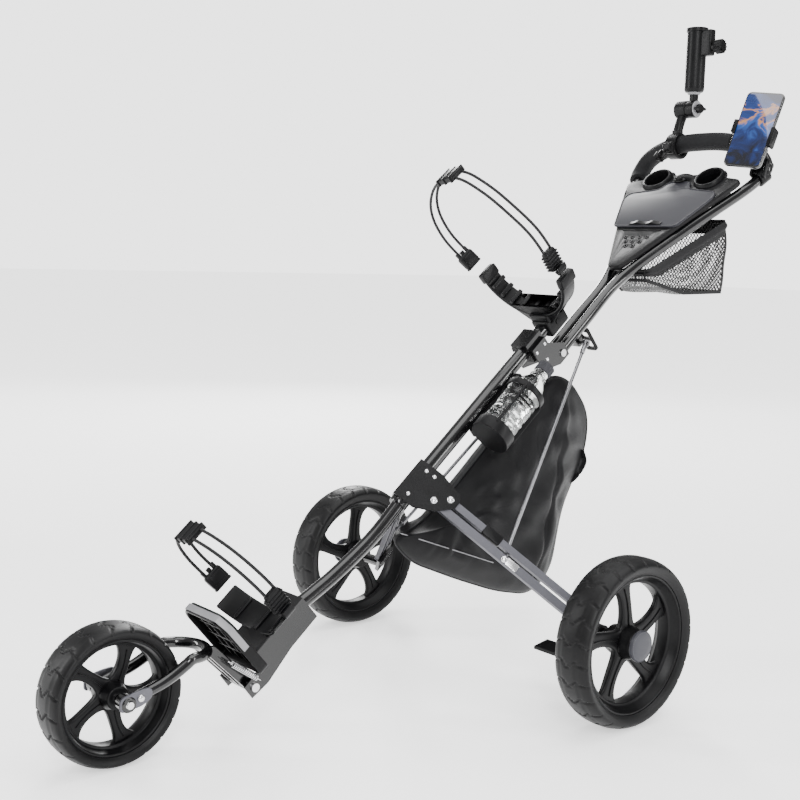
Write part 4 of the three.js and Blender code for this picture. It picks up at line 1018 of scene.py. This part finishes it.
def addConsole():
    # Panel with cups, bin and tee holes, its lid, the latch and the pencil clip.
    low, top = console["low"], console["top"]
    outline = rounded([
        (-0.012, 0.572), (0.012, 0.572), (0.128, 0.816), (0.128, 0.830), (0.088, 0.838), (0.084, 0.860),
        (0.036, 0.860), (0.030, 0.848), (-0.030, 0.848), (-0.036, 0.860), (-0.084, 0.860), (-0.088, 0.838),
        (-0.128, 0.830), (-0.128, 0.816)], 0.012, 6)
    binEdge = rounded([(-0.060, 0.700), (0.060, 0.700), (0.090, 0.768), (0.028, 0.800), (-0.028, 0.800),
                   (-0.090, 0.768)], 0.010)
    cups = [circle(0.0228, 48) + [side * console["cupX"], console["cupT"]] for side in (-1, 1)]
    teeSpots = [(x, t) for t, xs in console["tees"] for x in xs]
    tees = [circle(0.0021, 12) + teeSpot for teeSpot in teeSpots]
    shells = [cutSlab([outline, binEdge, *cups, *tees], low, top, onTube, 0.0030),
              slab(inset(binEdge, -0.004), low, low + 0.003, onTube, 0.0008)]
    for side in (-1, 1):
        start = onTube([(side * console["cupX"], console["cupT"], 0)])[0]
        cup = [(0.001, -0.078), (0.0235, -0.078), (0.0255, -0.0755), (0.0268, -0.045), (0.0290, -0.0345),
               (0.0310, -0.0305), (0.0292, -0.0262), (0.0272, -0.0242), (0.0252, -0.0240),
               (0.0236, -0.0254),
               (0.0230, -0.029), (0.0222, -0.0735), (0.0205, -0.075), (0.001, -0.075)]
        shells.append(turnedShell(cup, start, lift, 64))
    for x, t in teeSpots:
        ring = rounded([(0.0022, -0.0005), (0.0044, -0.0005), (0.0040, 0.0010), (0.0022, 0.0010)],
                       0.0004, 3)
        shells.append(turnedShell(ring, onTube([(x, t, top)])[0], lift, 20, True))
    # The hump between the cups, a cosine mound, and the long ridges beside and below the lid.
    s = np.linspace(0, 1, 20)
    turn = np.arange(48) * 2 * math.pi / 48
    reach = 1 - s
    mound = np.stack([
        (reach[:, None] ** 0.6) * 0.026 * np.cos(turn),
        0.836 + (reach[:, None] ** 0.6) * 0.0135 * np.sin(turn),
        np.broadcast_to((top - 0.002 + 0.0095 * np.sin(s * math.pi / 2))[:, None], (20, 48))], -1)
    shells.append(gridShell(onTube(mound[:-1])))
    ridges = [[(-0.044, 0.678), (0.044, 0.678)], [(0.070, 0.690), (0.118, 0.800)],
              [(-0.070, 0.690), (-0.118, 0.800)]]
    for a, b in ridges:
        line = np.linspace((*a, top), (*b, top), 12)
        shells.append(sweepShell(onTube(line), roundBox(0.0022, 0.0022, 0.0009, 4), lift, 0.0006))
    makePiece("console_body", shells, "black_plastic", "handle", ["console"])
    lid = rounded([
        (-0.072, 0.686), (0.072, 0.686), (0.106, 0.772), (0.098, 0.790), (0.034, 0.800), (0.026, 0.822),
        (-0.026, 0.822), (-0.034, 0.800), (-0.098, 0.790), (-0.106, 0.772)], 0.010, 6)
    rim = inset(lid, 0.0022)
    line = onTube(np.column_stack([rim, np.full(len(rim), top + 0.0036)]))
    shells = [slab(lid, top + 0.0003, top + 0.0034, onTube, 0.0010),
              sweepShell(line, roundBox(0.0018, 0.0012, 0.0005, 3), lift, closed=True)]
    makePiece("scorecard_lid_panel", shells, "smoked", "lid", ["scorecard_lid"])
    onLid = top + 0.0038
    oval = circle(0.0130, 40, 0.46) + [0, 0.822]
    shells = [slab(oval, onLid, onLid + 0.0045, onTube, 0.0016),
              slab(circle(0.0080, 32, 0.40) + [0, 0.822], onLid + 0.0040, top + 0.0120, onTube, 0.0020)]
    makePiece("lid_latch_knob", shells, "black_plastic", "latch_button", ["lid_latch"])
    x = np.linspace(-0.036, 0.036, 60)
    hump = 0.0014 + 0.0036 * (np.exp(-((x - 0.017) / 0.0085) ** 2) + np.exp(-((x + 0.017) / 0.0085) ** 2))
    profile = np.vstack([np.column_stack([x, onLid + hump]), [(0.036, onLid), (-0.036, onLid)]])
    clip = slab(profile, 0.690, 0.698, spot(tubeStart, across, lift, along), 0.0004)
    makePiece("pencil_clip_bar", [clip], "black_plastic", "lid", ["pencil_clip"])
    print("console made")


addConsole()

# Net pocket under the console.
netBag = {"front": 0.458, "rear": 0.599, "band": 0.026}


def netGrid(widen=0.0, top=0.0, bottom=1.0, rows=26, floor=True):
    # Rows go down the wall and in across the floor; columns go round a rounded trapezium. The wall
    # bellies out by a sine and the hem sags between its corners.
    front, rear = netBag["front"], netBag["rear"]

    def half(y):
        return 0.034 + (y - 0.444) * 0.4625

    plan = rounded([(-half(front), front), (half(front), front), (half(rear), rear), (-half(rear), rear)],
                   0.012, 9)
    steps = np.concatenate([np.linspace(plan[k], plan[(k + 1) % len(plan)], 14)[:-1]
                            if np.linalg.norm(plan[(k + 1) % len(plan)] - plan[k]) > 0.02 else plan[k:k + 1]
                            for k in range(len(plan))])
    x, y = steps[:, 0], steps[:, 1]
    upper = 0.683 + (y - front) * 0.683
    lower = np.interp(y, [front, 0.524, rear], [0.663, 0.642, 0.646])
    s = np.linspace(top, bottom, rows)[:, None]
    z = upper + (lower - upper) * s
    middle = np.array([0.0, 0.54])
    belly = (0.0045 * np.sin(math.pi * s) * np.clip((upper - lower) / 0.08, 0, 1)
             + 0.0016 * np.sin(9 * s + 26 * x + 15 * y) * np.sin(math.pi * s)) + widen
    out = unit(steps - middle)
    wall = np.stack([x + belly * out[:, 0], y + belly * out[:, 1], z], -1)
    if not floor:
        return wall
    inward = np.linspace(0, 0.94, 14)[1:, None]
    ground = np.stack([
        x * (1 - inward), y + (middle[1] - y) * inward,
        lower + (0.641 - lower) * inward - 0.003 * np.sin(math.pi * np.sqrt(inward))], -1)
    return np.vstack([wall, ground])


def sheetShell(points):
    # A single layer of cloth, facing out.
    return gridShell(points, capped=False)


def addNetBag():
    # The net itself, a hem round its top, and tape down its corners.
    net = makePiece("net_pocket", [sheetShell(netGrid())], "net", "handle", ["mesh_bag"])
    band = netGrid(0.0009, 0.0, 1.0, 30, False)
    clipped = band.copy()
    limit = np.minimum(netBag["band"], 0.62 * (band[0, :, 2] - band[-1, :, 2]))
    clipped[..., 2] = band[0, :, 2] - limit * np.linspace(0, 1, 30)[:, None]
    hem = makePiece("net_pocket_hem", [sheetShell(clipped)], "strap", "handle")
    tapes = []
    wall = netGrid(0.0012, 0.0, 1.0, 30, False)
    corners = [np.argmax(wall[0, :, 0] + 2 * wall[0, :, 1]), np.argmax(-wall[0, :, 0] + 2 * wall[0, :, 1]),
               np.argmin(-wall[0, :, 0] + 3 * wall[0, :, 1]), np.argmin(wall[0, :, 0] + 3 * wall[0, :, 1])]
    for k in corners:
        tapes.append(sweepShell(wall[:, k], roundBox(0.007, 0.0018, 0.0006, 3), [1.0, 0.2, 0.0], 0.0004))
    foot = netGrid(0.0012, 1.0, 1.0, 2, False)[0]
    tapes.append(sweepShell(foot, roundBox(0.0018, 0.006, 0.0006, 3), [0, 0, 1.0], closed=True))
    tape = makePiece("net_pocket_tape", tapes, "strap", "handle")
    for piece, thick in ((net, 0.0006), (hem, 0.0009)):
        wallOf = piece.modifiers.new("cloth", "SOLIDIFY")
        wallOf.thickness = thick
        wallOf.offset = 0.0
    for piece in (net, hem, tape):
        onTube([(0, 0.750, -0.045)])[0]
        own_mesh(piece)


addNetBag()

# Umbrella holder.
umbrella = {"tilt": (0.0, 0.016, 0.072), "socketX": 0.022}


def addUmbrellaHolder():
    # Ring clamp on the grip, swivel, socket tube and three knobs.
    start = pivotOf("umbrella_tilt") - [0, 0.016, 0.072]
    start[0] = -0.062
    place = spot(start, *upright)
    tilt = place([umbrella["tilt"]])[0]
    ringProfile = rounded([(0.0188, -0.012), (0.0250, -0.012), (0.0250, 0.012), (0.0188, 0.012)], 0.002)
    shells = [
        turnedShell(ringProfile, start, across, 64, True),
        boxShell(place, (-0.009, 0.009), (-0.034, -0.020), (-0.012, 0.004), 0.003, 0.002),
        boxShell(place, (-0.011, 0.011), (-0.029, -0.022), (-0.016, 0.007), 0.003, 0.002),
        boxShell(place, (-0.008, 0.008), (-0.009, 0.009), (0.0215, 0.031), 0.004, 0.002),
        sweepShell(smoothPath(place([(0, 0, 0.024), (0, 0.004, 0.040), (0, 0.013, 0.060)]), 24),
                   circle(0.0092, 32),
                   across, 0.001),
        turnedShell(rounded([(0.0044, -0.013), (0.017, -0.013), (0.017, 0.013), (0.0044, 0.013)], 0.0022),
                    tilt,
                    across, 56, True)]
    makePiece("umbrella_ring_clamp", shells, "black_plastic", "handle", ["umbrella_clamp"])
    low = unit(np.array([0, -1.0, -1.0]))
    screw = place([(0, -0.046, -0.018)])[0]
    shells = [rod(place([(0, -0.038, -0.0102)])[0], screw, 0.0045)]
    face = spot(place([(0, -0.045, -0.017)])[0], across,
                np.array([0, math.sqrt(0.5), -math.sqrt(0.5)]), low)
    lobes = 0.0088 + 0.0028 * np.cos(np.arange(60) * 2 * math.pi / 60 * 5)
    shells.append(slab(circle(1.0, 60) * lobes[:, None], -0.001, 0.0145, face, 0.0025))
    makePiece("umbrella_clamp_screw", shells, "black_plastic", "clamp_knob", ["umbrella_clamp_knob"])
    base = place([(umbrella["socketX"], 0.016, 0)])[0]
    tube = [(0.001, 0.104), (0.0165, 0.104), (0.0188, 0.108), (0.019, 0.112),
            (0.019, 0.2175), (0.0206, 0.2185),
            (0.0209, 0.2220), (0.0206, 0.2255), (0.0190, 0.226), (0.0152, 0.226), (0.0145, 0.2245),
            (0.0145, 0.113),
            (0.001, 0.112)]
    up = np.array([0, 0, 1.0])
    shells = [
        turnedShell(tube, base, up, 72),
        turnedShell(rounded([(0.0044, 0.0133), (0.0170, 0.0133), (0.0170, 0.031), (0.0044, 0.031)],
                            0.0018), tilt,
                    across, 56, True),
        boxShell(place, (0.0155, 0.0290), (0.0085, 0.0235), (0.080, 0.109), 0.004, 0.0022),
        boxShell(place, (0.034, 0.0600), (0.0075, 0.0245), (0.171, 0.220), 0.004, 0.0025)]
    makePiece("umbrella_socket_tube", shells, "black_plastic", "umbrella_arm", ["umbrella_socket"])
    # A light grey ring at the foot of the socket tube and a thin light grey disc at the swivel: painted
    # highlights on these black joints.
    neck = turnedShell([(0.001, 0.0995), (0.0112, 0.0995), (0.0125, 0.1015),
                        (0.0125, 0.1045), (0.001, 0.1050)],
                       base, up, 40)
    disc = turnedShell(rounded([(0.0050, 0.0306), (0.0158, 0.0306), (0.0150, 0.0324), (0.0050, 0.0330)],
                               0.0006),
                       tilt, across, 56, True)
    makePiece("umbrella_swivel_highlight_rings", [neck, disc], "grey_lip_and_highlight", "umbrella_arm")

    def wing(centre, x0, x1, long, wide):
        face = spot(centre, upright[1], upright[2], across)
        turn = np.arange(64) * 2 * math.pi / 64
        size = np.stack([long * np.cos(turn), wide * (0.65 + 0.35 * np.cos(2 * turn) ** 2) * np.sin(turn)],
                        1)
        return [slab(size, x0, x1, face, 0.0022)]

    shells = [rod(tilt - 0.019 * across, tilt + 0.036 * across, 0.004),
              turnedShell([(0.001, 0.0335), (0.0085, 0.0335), (0.009, 0.036),
                           (0.009, 0.0405), (0.0075, 0.042),
                           (0.001, 0.0422)], tilt, across, 36)] + wing(tilt, 0.0345, 0.042, 0.017, 0.0066)
    makePiece("umbrella_tilt_wing", shells, "black_plastic", "tilt_knob", ["umbrella_tilt_knob"])
    lock = place([(umbrella["socketX"], 0.016, 0.186)])[0]
    lobes = 0.0126 + 0.0013 * np.cos(np.arange(96) * 2 * math.pi / 96 * 12)
    face = spot(lock, upright[1], upright[2], across)
    shells = [rod(lock + 0.010 * across, lock + 0.050 * across, 0.004),
              turnedShell([(0.001, 0.0385), (0.007, 0.0385), (0.007, 0.0462), (0.001, 0.0462)],
                          lock, across, 32),
              slab(circle(1.0, 96) * lobes[:, None], 0.046, 0.062, face, 0.0025)]
    makePiece("umbrella_lock_screw", shells, "black_plastic", "lock_knob", ["umbrella_lock_knob"])
    print("umbrella holder made")


addUmbrellaHolder()

# Phone and its holder.
phone = {"width": 0.074, "height": 0.150, "depth": 0.008, "corner": 0.011}


def addPhone():
    # Phone, the jaws that grip it and the clamp on the handle.
    x = np.array([0.981975, 0.150579, -0.114239])
    y = np.array([0.047618, 0.387819, 0.920505])
    z = np.cross(x, y)
    seat = spot(np.array([0.127, 0.639, 0.942]), x, y, z)
    body = slab(roundBox(phone["width"], phone["height"], phone["corner"], 9), 0, phone["depth"],
                seat, 0.0022)
    keys = [boxShell(seat, (0.0362, 0.0376), (a, b), (0.0028, 0.0052), 0.0004, 0.0003)
            for a, b in ((0.020, 0.032), (0.040, 0.062))]
    makePiece("phone_case", [body, *keys], "phone_black", "phone_body", ["phone"])
    glass = slab(roundBox(phone["width"] - 0.006, phone["height"] - 0.008, 0.0085, 9),
                 phone["depth"] - 0.0006,
                 phone["depth"] + 0.0002, seat, 0.0001)
    local = (glass[0] - seat([(0, 0, 0)])[0]) @ np.stack([x, y], 1)
    glass = (*glass[:3], local[glass[2]] + [phone["width"] / 2, phone["height"] / 2])
    makePiece("phone_screen", [glass], "screen", "phone_body")
    edge = phone["width"] / 2 + 0.0003
    shells = [
        boxShell(seat, (-0.024, 0.024), (-0.032, 0.022), (-0.009, -0.0003), 0.006, 0.002),
        boxShell(seat, (0.014, 0.034), (-0.054, -0.030), (-0.009, -0.0003), 0.003, 0.0015),
        boxShell(seat, (0.014, 0.034), (-0.054, -0.046), (-0.016, -0.008), 0.003, 0.0015),
        rod(seat([(0.014, -0.050, -0.016)])[0], seat([(0.034, -0.050, -0.016)])[0], 0.006)]
    for a, b, c, d in ((edge, edge + 0.005, -0.030, 0.006), (-edge - 0.005, -edge, -0.010, 0.016)):
        shells.append(boxShell(turnFrame(seat, 1, 2, 0), (c, d), (-0.009, 0.010), (a, b), 0.004, 0.0018))
        inner = (0.020, b - 0.002) if a > 0 else (a + 0.002, -0.020)
        shells.append(boxShell(seat, inner, (c + 0.003, d - 0.003), (-0.009, -0.0003), 0.003, 0.0015))
        hook = (a - 0.003, b) if a > 0 else (a, b + 0.003)
        shells.append(boxShell(seat, hook, (c, d), (0.0083, 0.0112), 0.002, 0.001))
    makePiece("phone_grip_jaws", shells, "black_plastic", "phone_cradle", ["phone_holder"])
    centre = onTube([(0.142, 0.868, -0.0545)])[0]
    way = unit(onTube([(0.142 + 0.309, 0.868 + 0.951, -0.0545)])[0] - centre)
    ringProfile = rounded([(0.0124, -0.011), (0.016, -0.011), (0.016, 0.011), (0.0124, 0.011)], 0.0012)
    ear = rounded([(-0.045, -0.011), (-0.045, -0.021), (-0.060, -0.022), (-0.066, -0.030), (-0.080, -0.030),
                   (-0.080, -0.016), (-0.056, -0.010)], 0.003)
    side = turnFrame(seat, 1, 2, 0)
    shells = [turnedShell(ringProfile, centre, way, 56, True), slab(ear, 0.009, 0.0135, side, 0.001),
              slab(ear, 0.0345, 0.039, side, 0.001),
              rod(seat([(0.007, -0.050, -0.016)])[0], seat([(0.041, -0.050, -0.016)])[0], 0.0032)]
    makePiece("phone_clamp_ring", shells, "black_plastic", "handle", ["phone_clamp"])
    print("phone made")


addPhone()

# Bottle in its cage.
bottle = {"x": 0.058, "u": -0.013, "base": 0.124, "radius": 0.0305}


def addBottle():
    # A turned flask with dents, a ribbed cap and an open cage.
    start = onTube([(bottle["x"], bottle["base"], bottle["u"])])[0]
    radius = bottle["radius"]
    h = np.linspace(0.006, 0.094, 90)
    # The side is ribbed by a cosine and has one waist, a Gauss bell half way up.
    ripple = 0.0009 * (1 - np.cos(2 * math.pi * (h - 0.006) / 0.0126)) / 2
    body = radius - ripple - 0.0012 * np.exp(-((h - 0.052) / 0.006) ** 2)
    foot = [
        (0.001, 0.006), (0.012, 0.0055), (0.020, 0.0015), (0.0245, 0.0), (0.0285, 0.002), (0.0300, 0.004)]
    neck = [
        (0.0296, 0.100), (0.0272, 0.110), (0.0225, 0.121), (0.0170, 0.130), (0.0140, 0.135), (0.0135, 0.138),
        (0.0152, 0.139), (0.0152, 0.1405), (0.0130, 0.1415), (0.0130, 0.150), (0.001, 0.150)]
    profile = np.vstack([foot, np.column_stack([body, h]), neck])
    turn = np.arange(96) * 2 * math.pi / 96
    dents = 1 - 0.030 * np.sin(5 * turn)[None] ** 2 * np.exp(-((profile[:, 1:] - 0.05) / 0.028) ** 2)
    side, other = across, np.cross(along, across)
    ring = np.cos(turn)[:, None] * side + np.sin(turn)[:, None] * other
    points = start + (profile[:, :1] * dents)[..., None] * ring + profile[:, None, 1:] * along
    makePiece("bottle_flask", [gridShell(points)], "clear", "bottle_body", ["bottle"])
    ribs = 0.0146 + 0.0004 * np.cos(turn * 24)
    frameCap = spot(start, side, other, along)
    cap = slab(circle(1.0, 96) * ribs[:, None], 0.1503, 0.168, frameCap, 0.0012)
    makePiece("bottle_cap_ribbed", [cap], "grey_plastic", "bottle_lid", ["bottle_cap"])
    rings = []
    for low, high in ((-0.004, 0.018), (0.094, 0.106)):
        inner, outer = radius + 0.0011, radius + 0.004
        band = rounded([(inner, low), (outer, low), (outer, high), (inner, high)], 0.0012)
        rings.append(turnedShell(band, start, along, 80, True))
    wide = radius + 0.002
    floor = turnedShell([(0.001, -0.004), (wide, -0.004), (wide, -0.0013), (0.001, -0.0013)], start, along, 64)
    spine = boxShell(turnFrame(onTube, 1, 2, 0), (0.122, 0.262), (bottle["u"] - 0.009, bottle["u"] + 0.009),
                     (0.0137, 0.0255), 0.004, 0.0018)
    struts = []
    for turned in (-0.9, 0.9, math.pi):
        out = math.cos(turned) * side + math.sin(turned) * other
        path = start + np.array([(radius + 0.0025) * out + up * along for up in (0.012, 0.05, 0.098)])
        struts.append(sweepShell(smoothPath(path, 20), roundBox(0.003, 0.007, 0.001), out, 0.001))
    makePiece("bottle_cage_frame", [*rings, floor, spine, *struts], "black_plastic",
              "frame", ["bottle_cage"])
    print("bottle made")


addBottle()

# Storage bag.
bag = {"half": 0.047, "outline": [
    (-0.100, -0.030), (-0.054, -0.060), (0.060, -0.064), (0.180, -0.062), (0.290, -0.064), (0.338, -0.082),
    (0.364, -0.122), (0.365, -0.199), (0.324, -0.246), (0.204, -0.292), (0.118, -0.359), (0.056, -0.353),
    (0.004, -0.283), (-0.044, -0.196), (-0.096, -0.093)]}


def addBag():
    # Each side is a dome over the outline: full in the middle, pulled in to a seam round the edge, with
    # a ridge down its rear third, a gusset below, and creases that fan out from the legs' bracket.
    outline = rounded(bag["outline"], 0.030, 9)
    turn = np.linspace(0, len(outline), 241)[:-1]
    base = turn.astype(int)
    w = (turn - base)[:, None]
    edge = outline[base % len(outline)] * (1 - w) + outline[(base + 1) % len(outline)] * w
    centre = np.array([0.130, -0.170])
    share = np.sin(np.linspace(0.02, math.pi / 2, 46))[:, None, None]
    flat = centre + share * (edge - centre)
    t, u = flat[..., 0], flat[..., 1]
    s = share[..., 0]
    full = (1 - s ** 3.2) ** 0.5
    ridge = (t - 0.240) * 0.62 - (u + 0.180) * 0.78
    slope = np.minimum(1.0, 1.0 - 2.6 * np.maximum(ridge, 0) / 0.16 * 0.5)
    low = ((t + 0.10) * 0.87 + (u + 0.012) * 0.49)
    under = 1.0 - 0.35 * ease(0.0, -0.05, low)
    reach = np.hypot(t + 0.01, u + 0.06)
    aim = np.arctan2(u + 0.06, t + 0.01)
    near = ease(0.03, 0.10, reach) * np.exp(-(reach / 0.20) ** 2)
    crease = (0.0034 * np.sin(aim * 21 + 6 * reach / 0.3) * near
              + 0.0026 * np.sin((t * 0.45 + u * 0.89) * 95 + 2.2 * np.sin(t * 22)) * ease(0.12, 0.20, reach)
              + 0.0018 * np.sin((t * 0.9 - u * 0.4) * 120 + 3.0 * np.sin(u * 30)))
    fold = -0.0060 * np.exp(-((ridge + 0.006) / 0.006) ** 2) * ease(-0.30, -0.20, -t)
    x = bag["half"] * full * slope * under + (crease + fold) * ease(0.02, 0.35, 1 - s)
    x = np.maximum(x, 0.0015 + 0.004 * (1 - s))
    left = np.stack([x, t, u], -1)
    right = np.stack([-x, t, u], -1)[::-1]
    shells = [gridShell(onTube(np.vstack([left, right])))]
    body = makePiece("storage_bag_cloth", shells, "cloth", "frame", ["storage_bag"], 70.0)
    # Piping round the seam, a zip across the top, and a webbing loop at the rear.
    line = np.column_stack([np.zeros(len(edge)), edge])
    piping = sweepShell(onTube(line), circle(0.0022, 12), across, closed=True)
    zipLine = smoothPath([(0.002, 0.300, -0.0655), (0.002, 0.250, -0.0615), (0.002, 0.100, -0.0625),
                         (0.002, 0.000, -0.0640)], 60)
    zipCover = sweepShell(onTube(zipLine), roundBox(0.010, 0.0022, 0.0008, 4), lift, 0.0006)
    strap = smoothPath([(0, 0.308, -0.240), (0, 0.300, -0.262), (0, 0.270, -0.268), (0, 0.246, -0.262),
                        (0, 0.236, -0.250)], 40)
    loop = sweepShell(onTube(strap), roundBox(0.022, 0.0022, 0.0008, 4), along, 0.0006)
    trim = makePiece("storage_bag_trim", [piping, zipCover, loop], "strap", "frame")
    # A thin raised thread down the front seam, coloured light grey: a painted highlight along the seam.
    seam = np.linspace((-0.084, -0.036), (0.012, -0.208), 40)
    closest = np.argmin(((flat.reshape(-1, 2)[None] - seam[:, None]) ** 2).sum(-1), 1)
    height = np.convolve(np.pad(x.reshape(-1)[closest], 3, "edge"), np.ones(7) / 7, "valid") + 0.0004
    thread = sweepShell(onTube(np.column_stack([height, seam])), circle(0.0009, 10), across, 0.0004)
    seamHighlight = makePiece("storage_bag_seam_highlight", [thread], "grey_lip_and_highlight", "frame")
    for piece in (body, trim, seamHighlight):
        onTube([(0, 0.1, -0.062)])[0]
        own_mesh(piece)
    area = float(sum(face.area for face in body.data.polygons))
    print("storage bag made", round(area, 3))


addBag()


def addLevers():
    # The ring that unlocks the handle: a plate with two slots.
    ring = cutSlab([
        rounded([(-0.0125, -0.118), (0.0125, -0.118), (0.0125, -0.066), (-0.0125, -0.066)], 0.006),
        rounded([(-0.0085, -0.112), (0.0085, -0.112), (0.0085, -0.094), (-0.0085, -0.094)], 0.004),
        rounded([(-0.0085, -0.088), (0.0085, -0.088), (0.0085, -0.074), (-0.0085, -0.074)], 0.0035)],
        0.441, 0.448, spot(tubeStart, across, lift, along), 0.0018)
    makePiece("fold_lever_ring", [ring], "black_plastic", "handle_lever", ["latch_lever"])
    print("levers made")


addLevers()

# Nodes that need no new shape.
kept = {
    "black_paint": ["mid_bracket", "left_axle_knuckle", "right_axle_knuckle",
                    "top_bracket", "foot_bracket"],
    "grey_metal": ["left_lower_strut", "left_upper_strut", "right_lower_strut", "right_upper_strut"],
    "steel": ["handle_pivot", "fork_pivot_pin", "front_axle"],
    "black_plastic": ["brake_pedal"]}
for finish, names in kept.items():
    for name in names:
        node = frame["nodes"][name]
        node.data.materials.clear()
        node.data.materials.append(finishes[finish])
print("packed pieces finished")

# Floor and light.
def addStage():
    # The sky is brighter to the camera than as a light, so the ground looks white and black stays black.
    mesh = bpy.data.meshes.new("floor")
    mesh.from_pydata([(-30, -30, 0), (30, -30, 0), (30, 30, 0), (-30, 30, 0)], [], [(0, 1, 2, 3)])
    mesh.materials.append(finishes["floor"])
    floor = bpy.data.objects.new("floor", mesh)
    bpy.context.scene.collection.objects.link(floor)
    world = bpy.data.worlds.new("studio")
    bpy.context.scene.world = world
    world.use_nodes = True
    world.node_tree.nodes["Background"].inputs["Color"].default_value = (1, 1, 1, 1)
    sky = Wire(world.node_tree)
    seen = sky.node("ShaderNodeLightPath", out="Is Camera Ray")
    strength = seen * (studio["sky"] - studio["world"]) + studio["world"]
    world.node_tree.links.new(strength.socket, world.node_tree.nodes["Background"].inputs["Strength"])
    for name, (place, aim, size, power) in studio["lamps"].items():
        light = bpy.data.lights.new(name, "AREA")
        light.shape = "RECTANGLE"
        light.size, light.size_y = size
        light.energy = power
        holder = bpy.data.objects.new(name, light)
        holder.location = place
        holder.rotation_euler = (Vector(aim) - Vector(place)).to_track_quat("-Z", "Y").to_euler()
        bpy.context.scene.collection.objects.link(holder)


def floorLook(place, flat):
    # A faint mottle; past 1.2 m from the middle the floor's own glow rises until it meets the sky.
    mottle = place.noise(1.2, 3.0)
    reach = ((place.part("X") ** 2 + place.part("Y") ** 2) ** 0.5 - 1.2) * 0.35
    far = reach.maths("MINIMUM", reach.maths("MAXIMUM", reach, 0.0), 1.0)
    return {
        "Base Color": mottle.blend((0.88, 0.88, 0.88), (0.92, 0.92, 0.92)),
        "Roughness": mottle * 0.1 + 0.7,
        "Emission Color": far.blend((0.42, 0.42, 0.42), (1, 1, 1))}


addFinish("floor", floorLook, Emission_Strength=2.2, Specular_IOR_Level=0.1)
addStage()
print("scene ready")
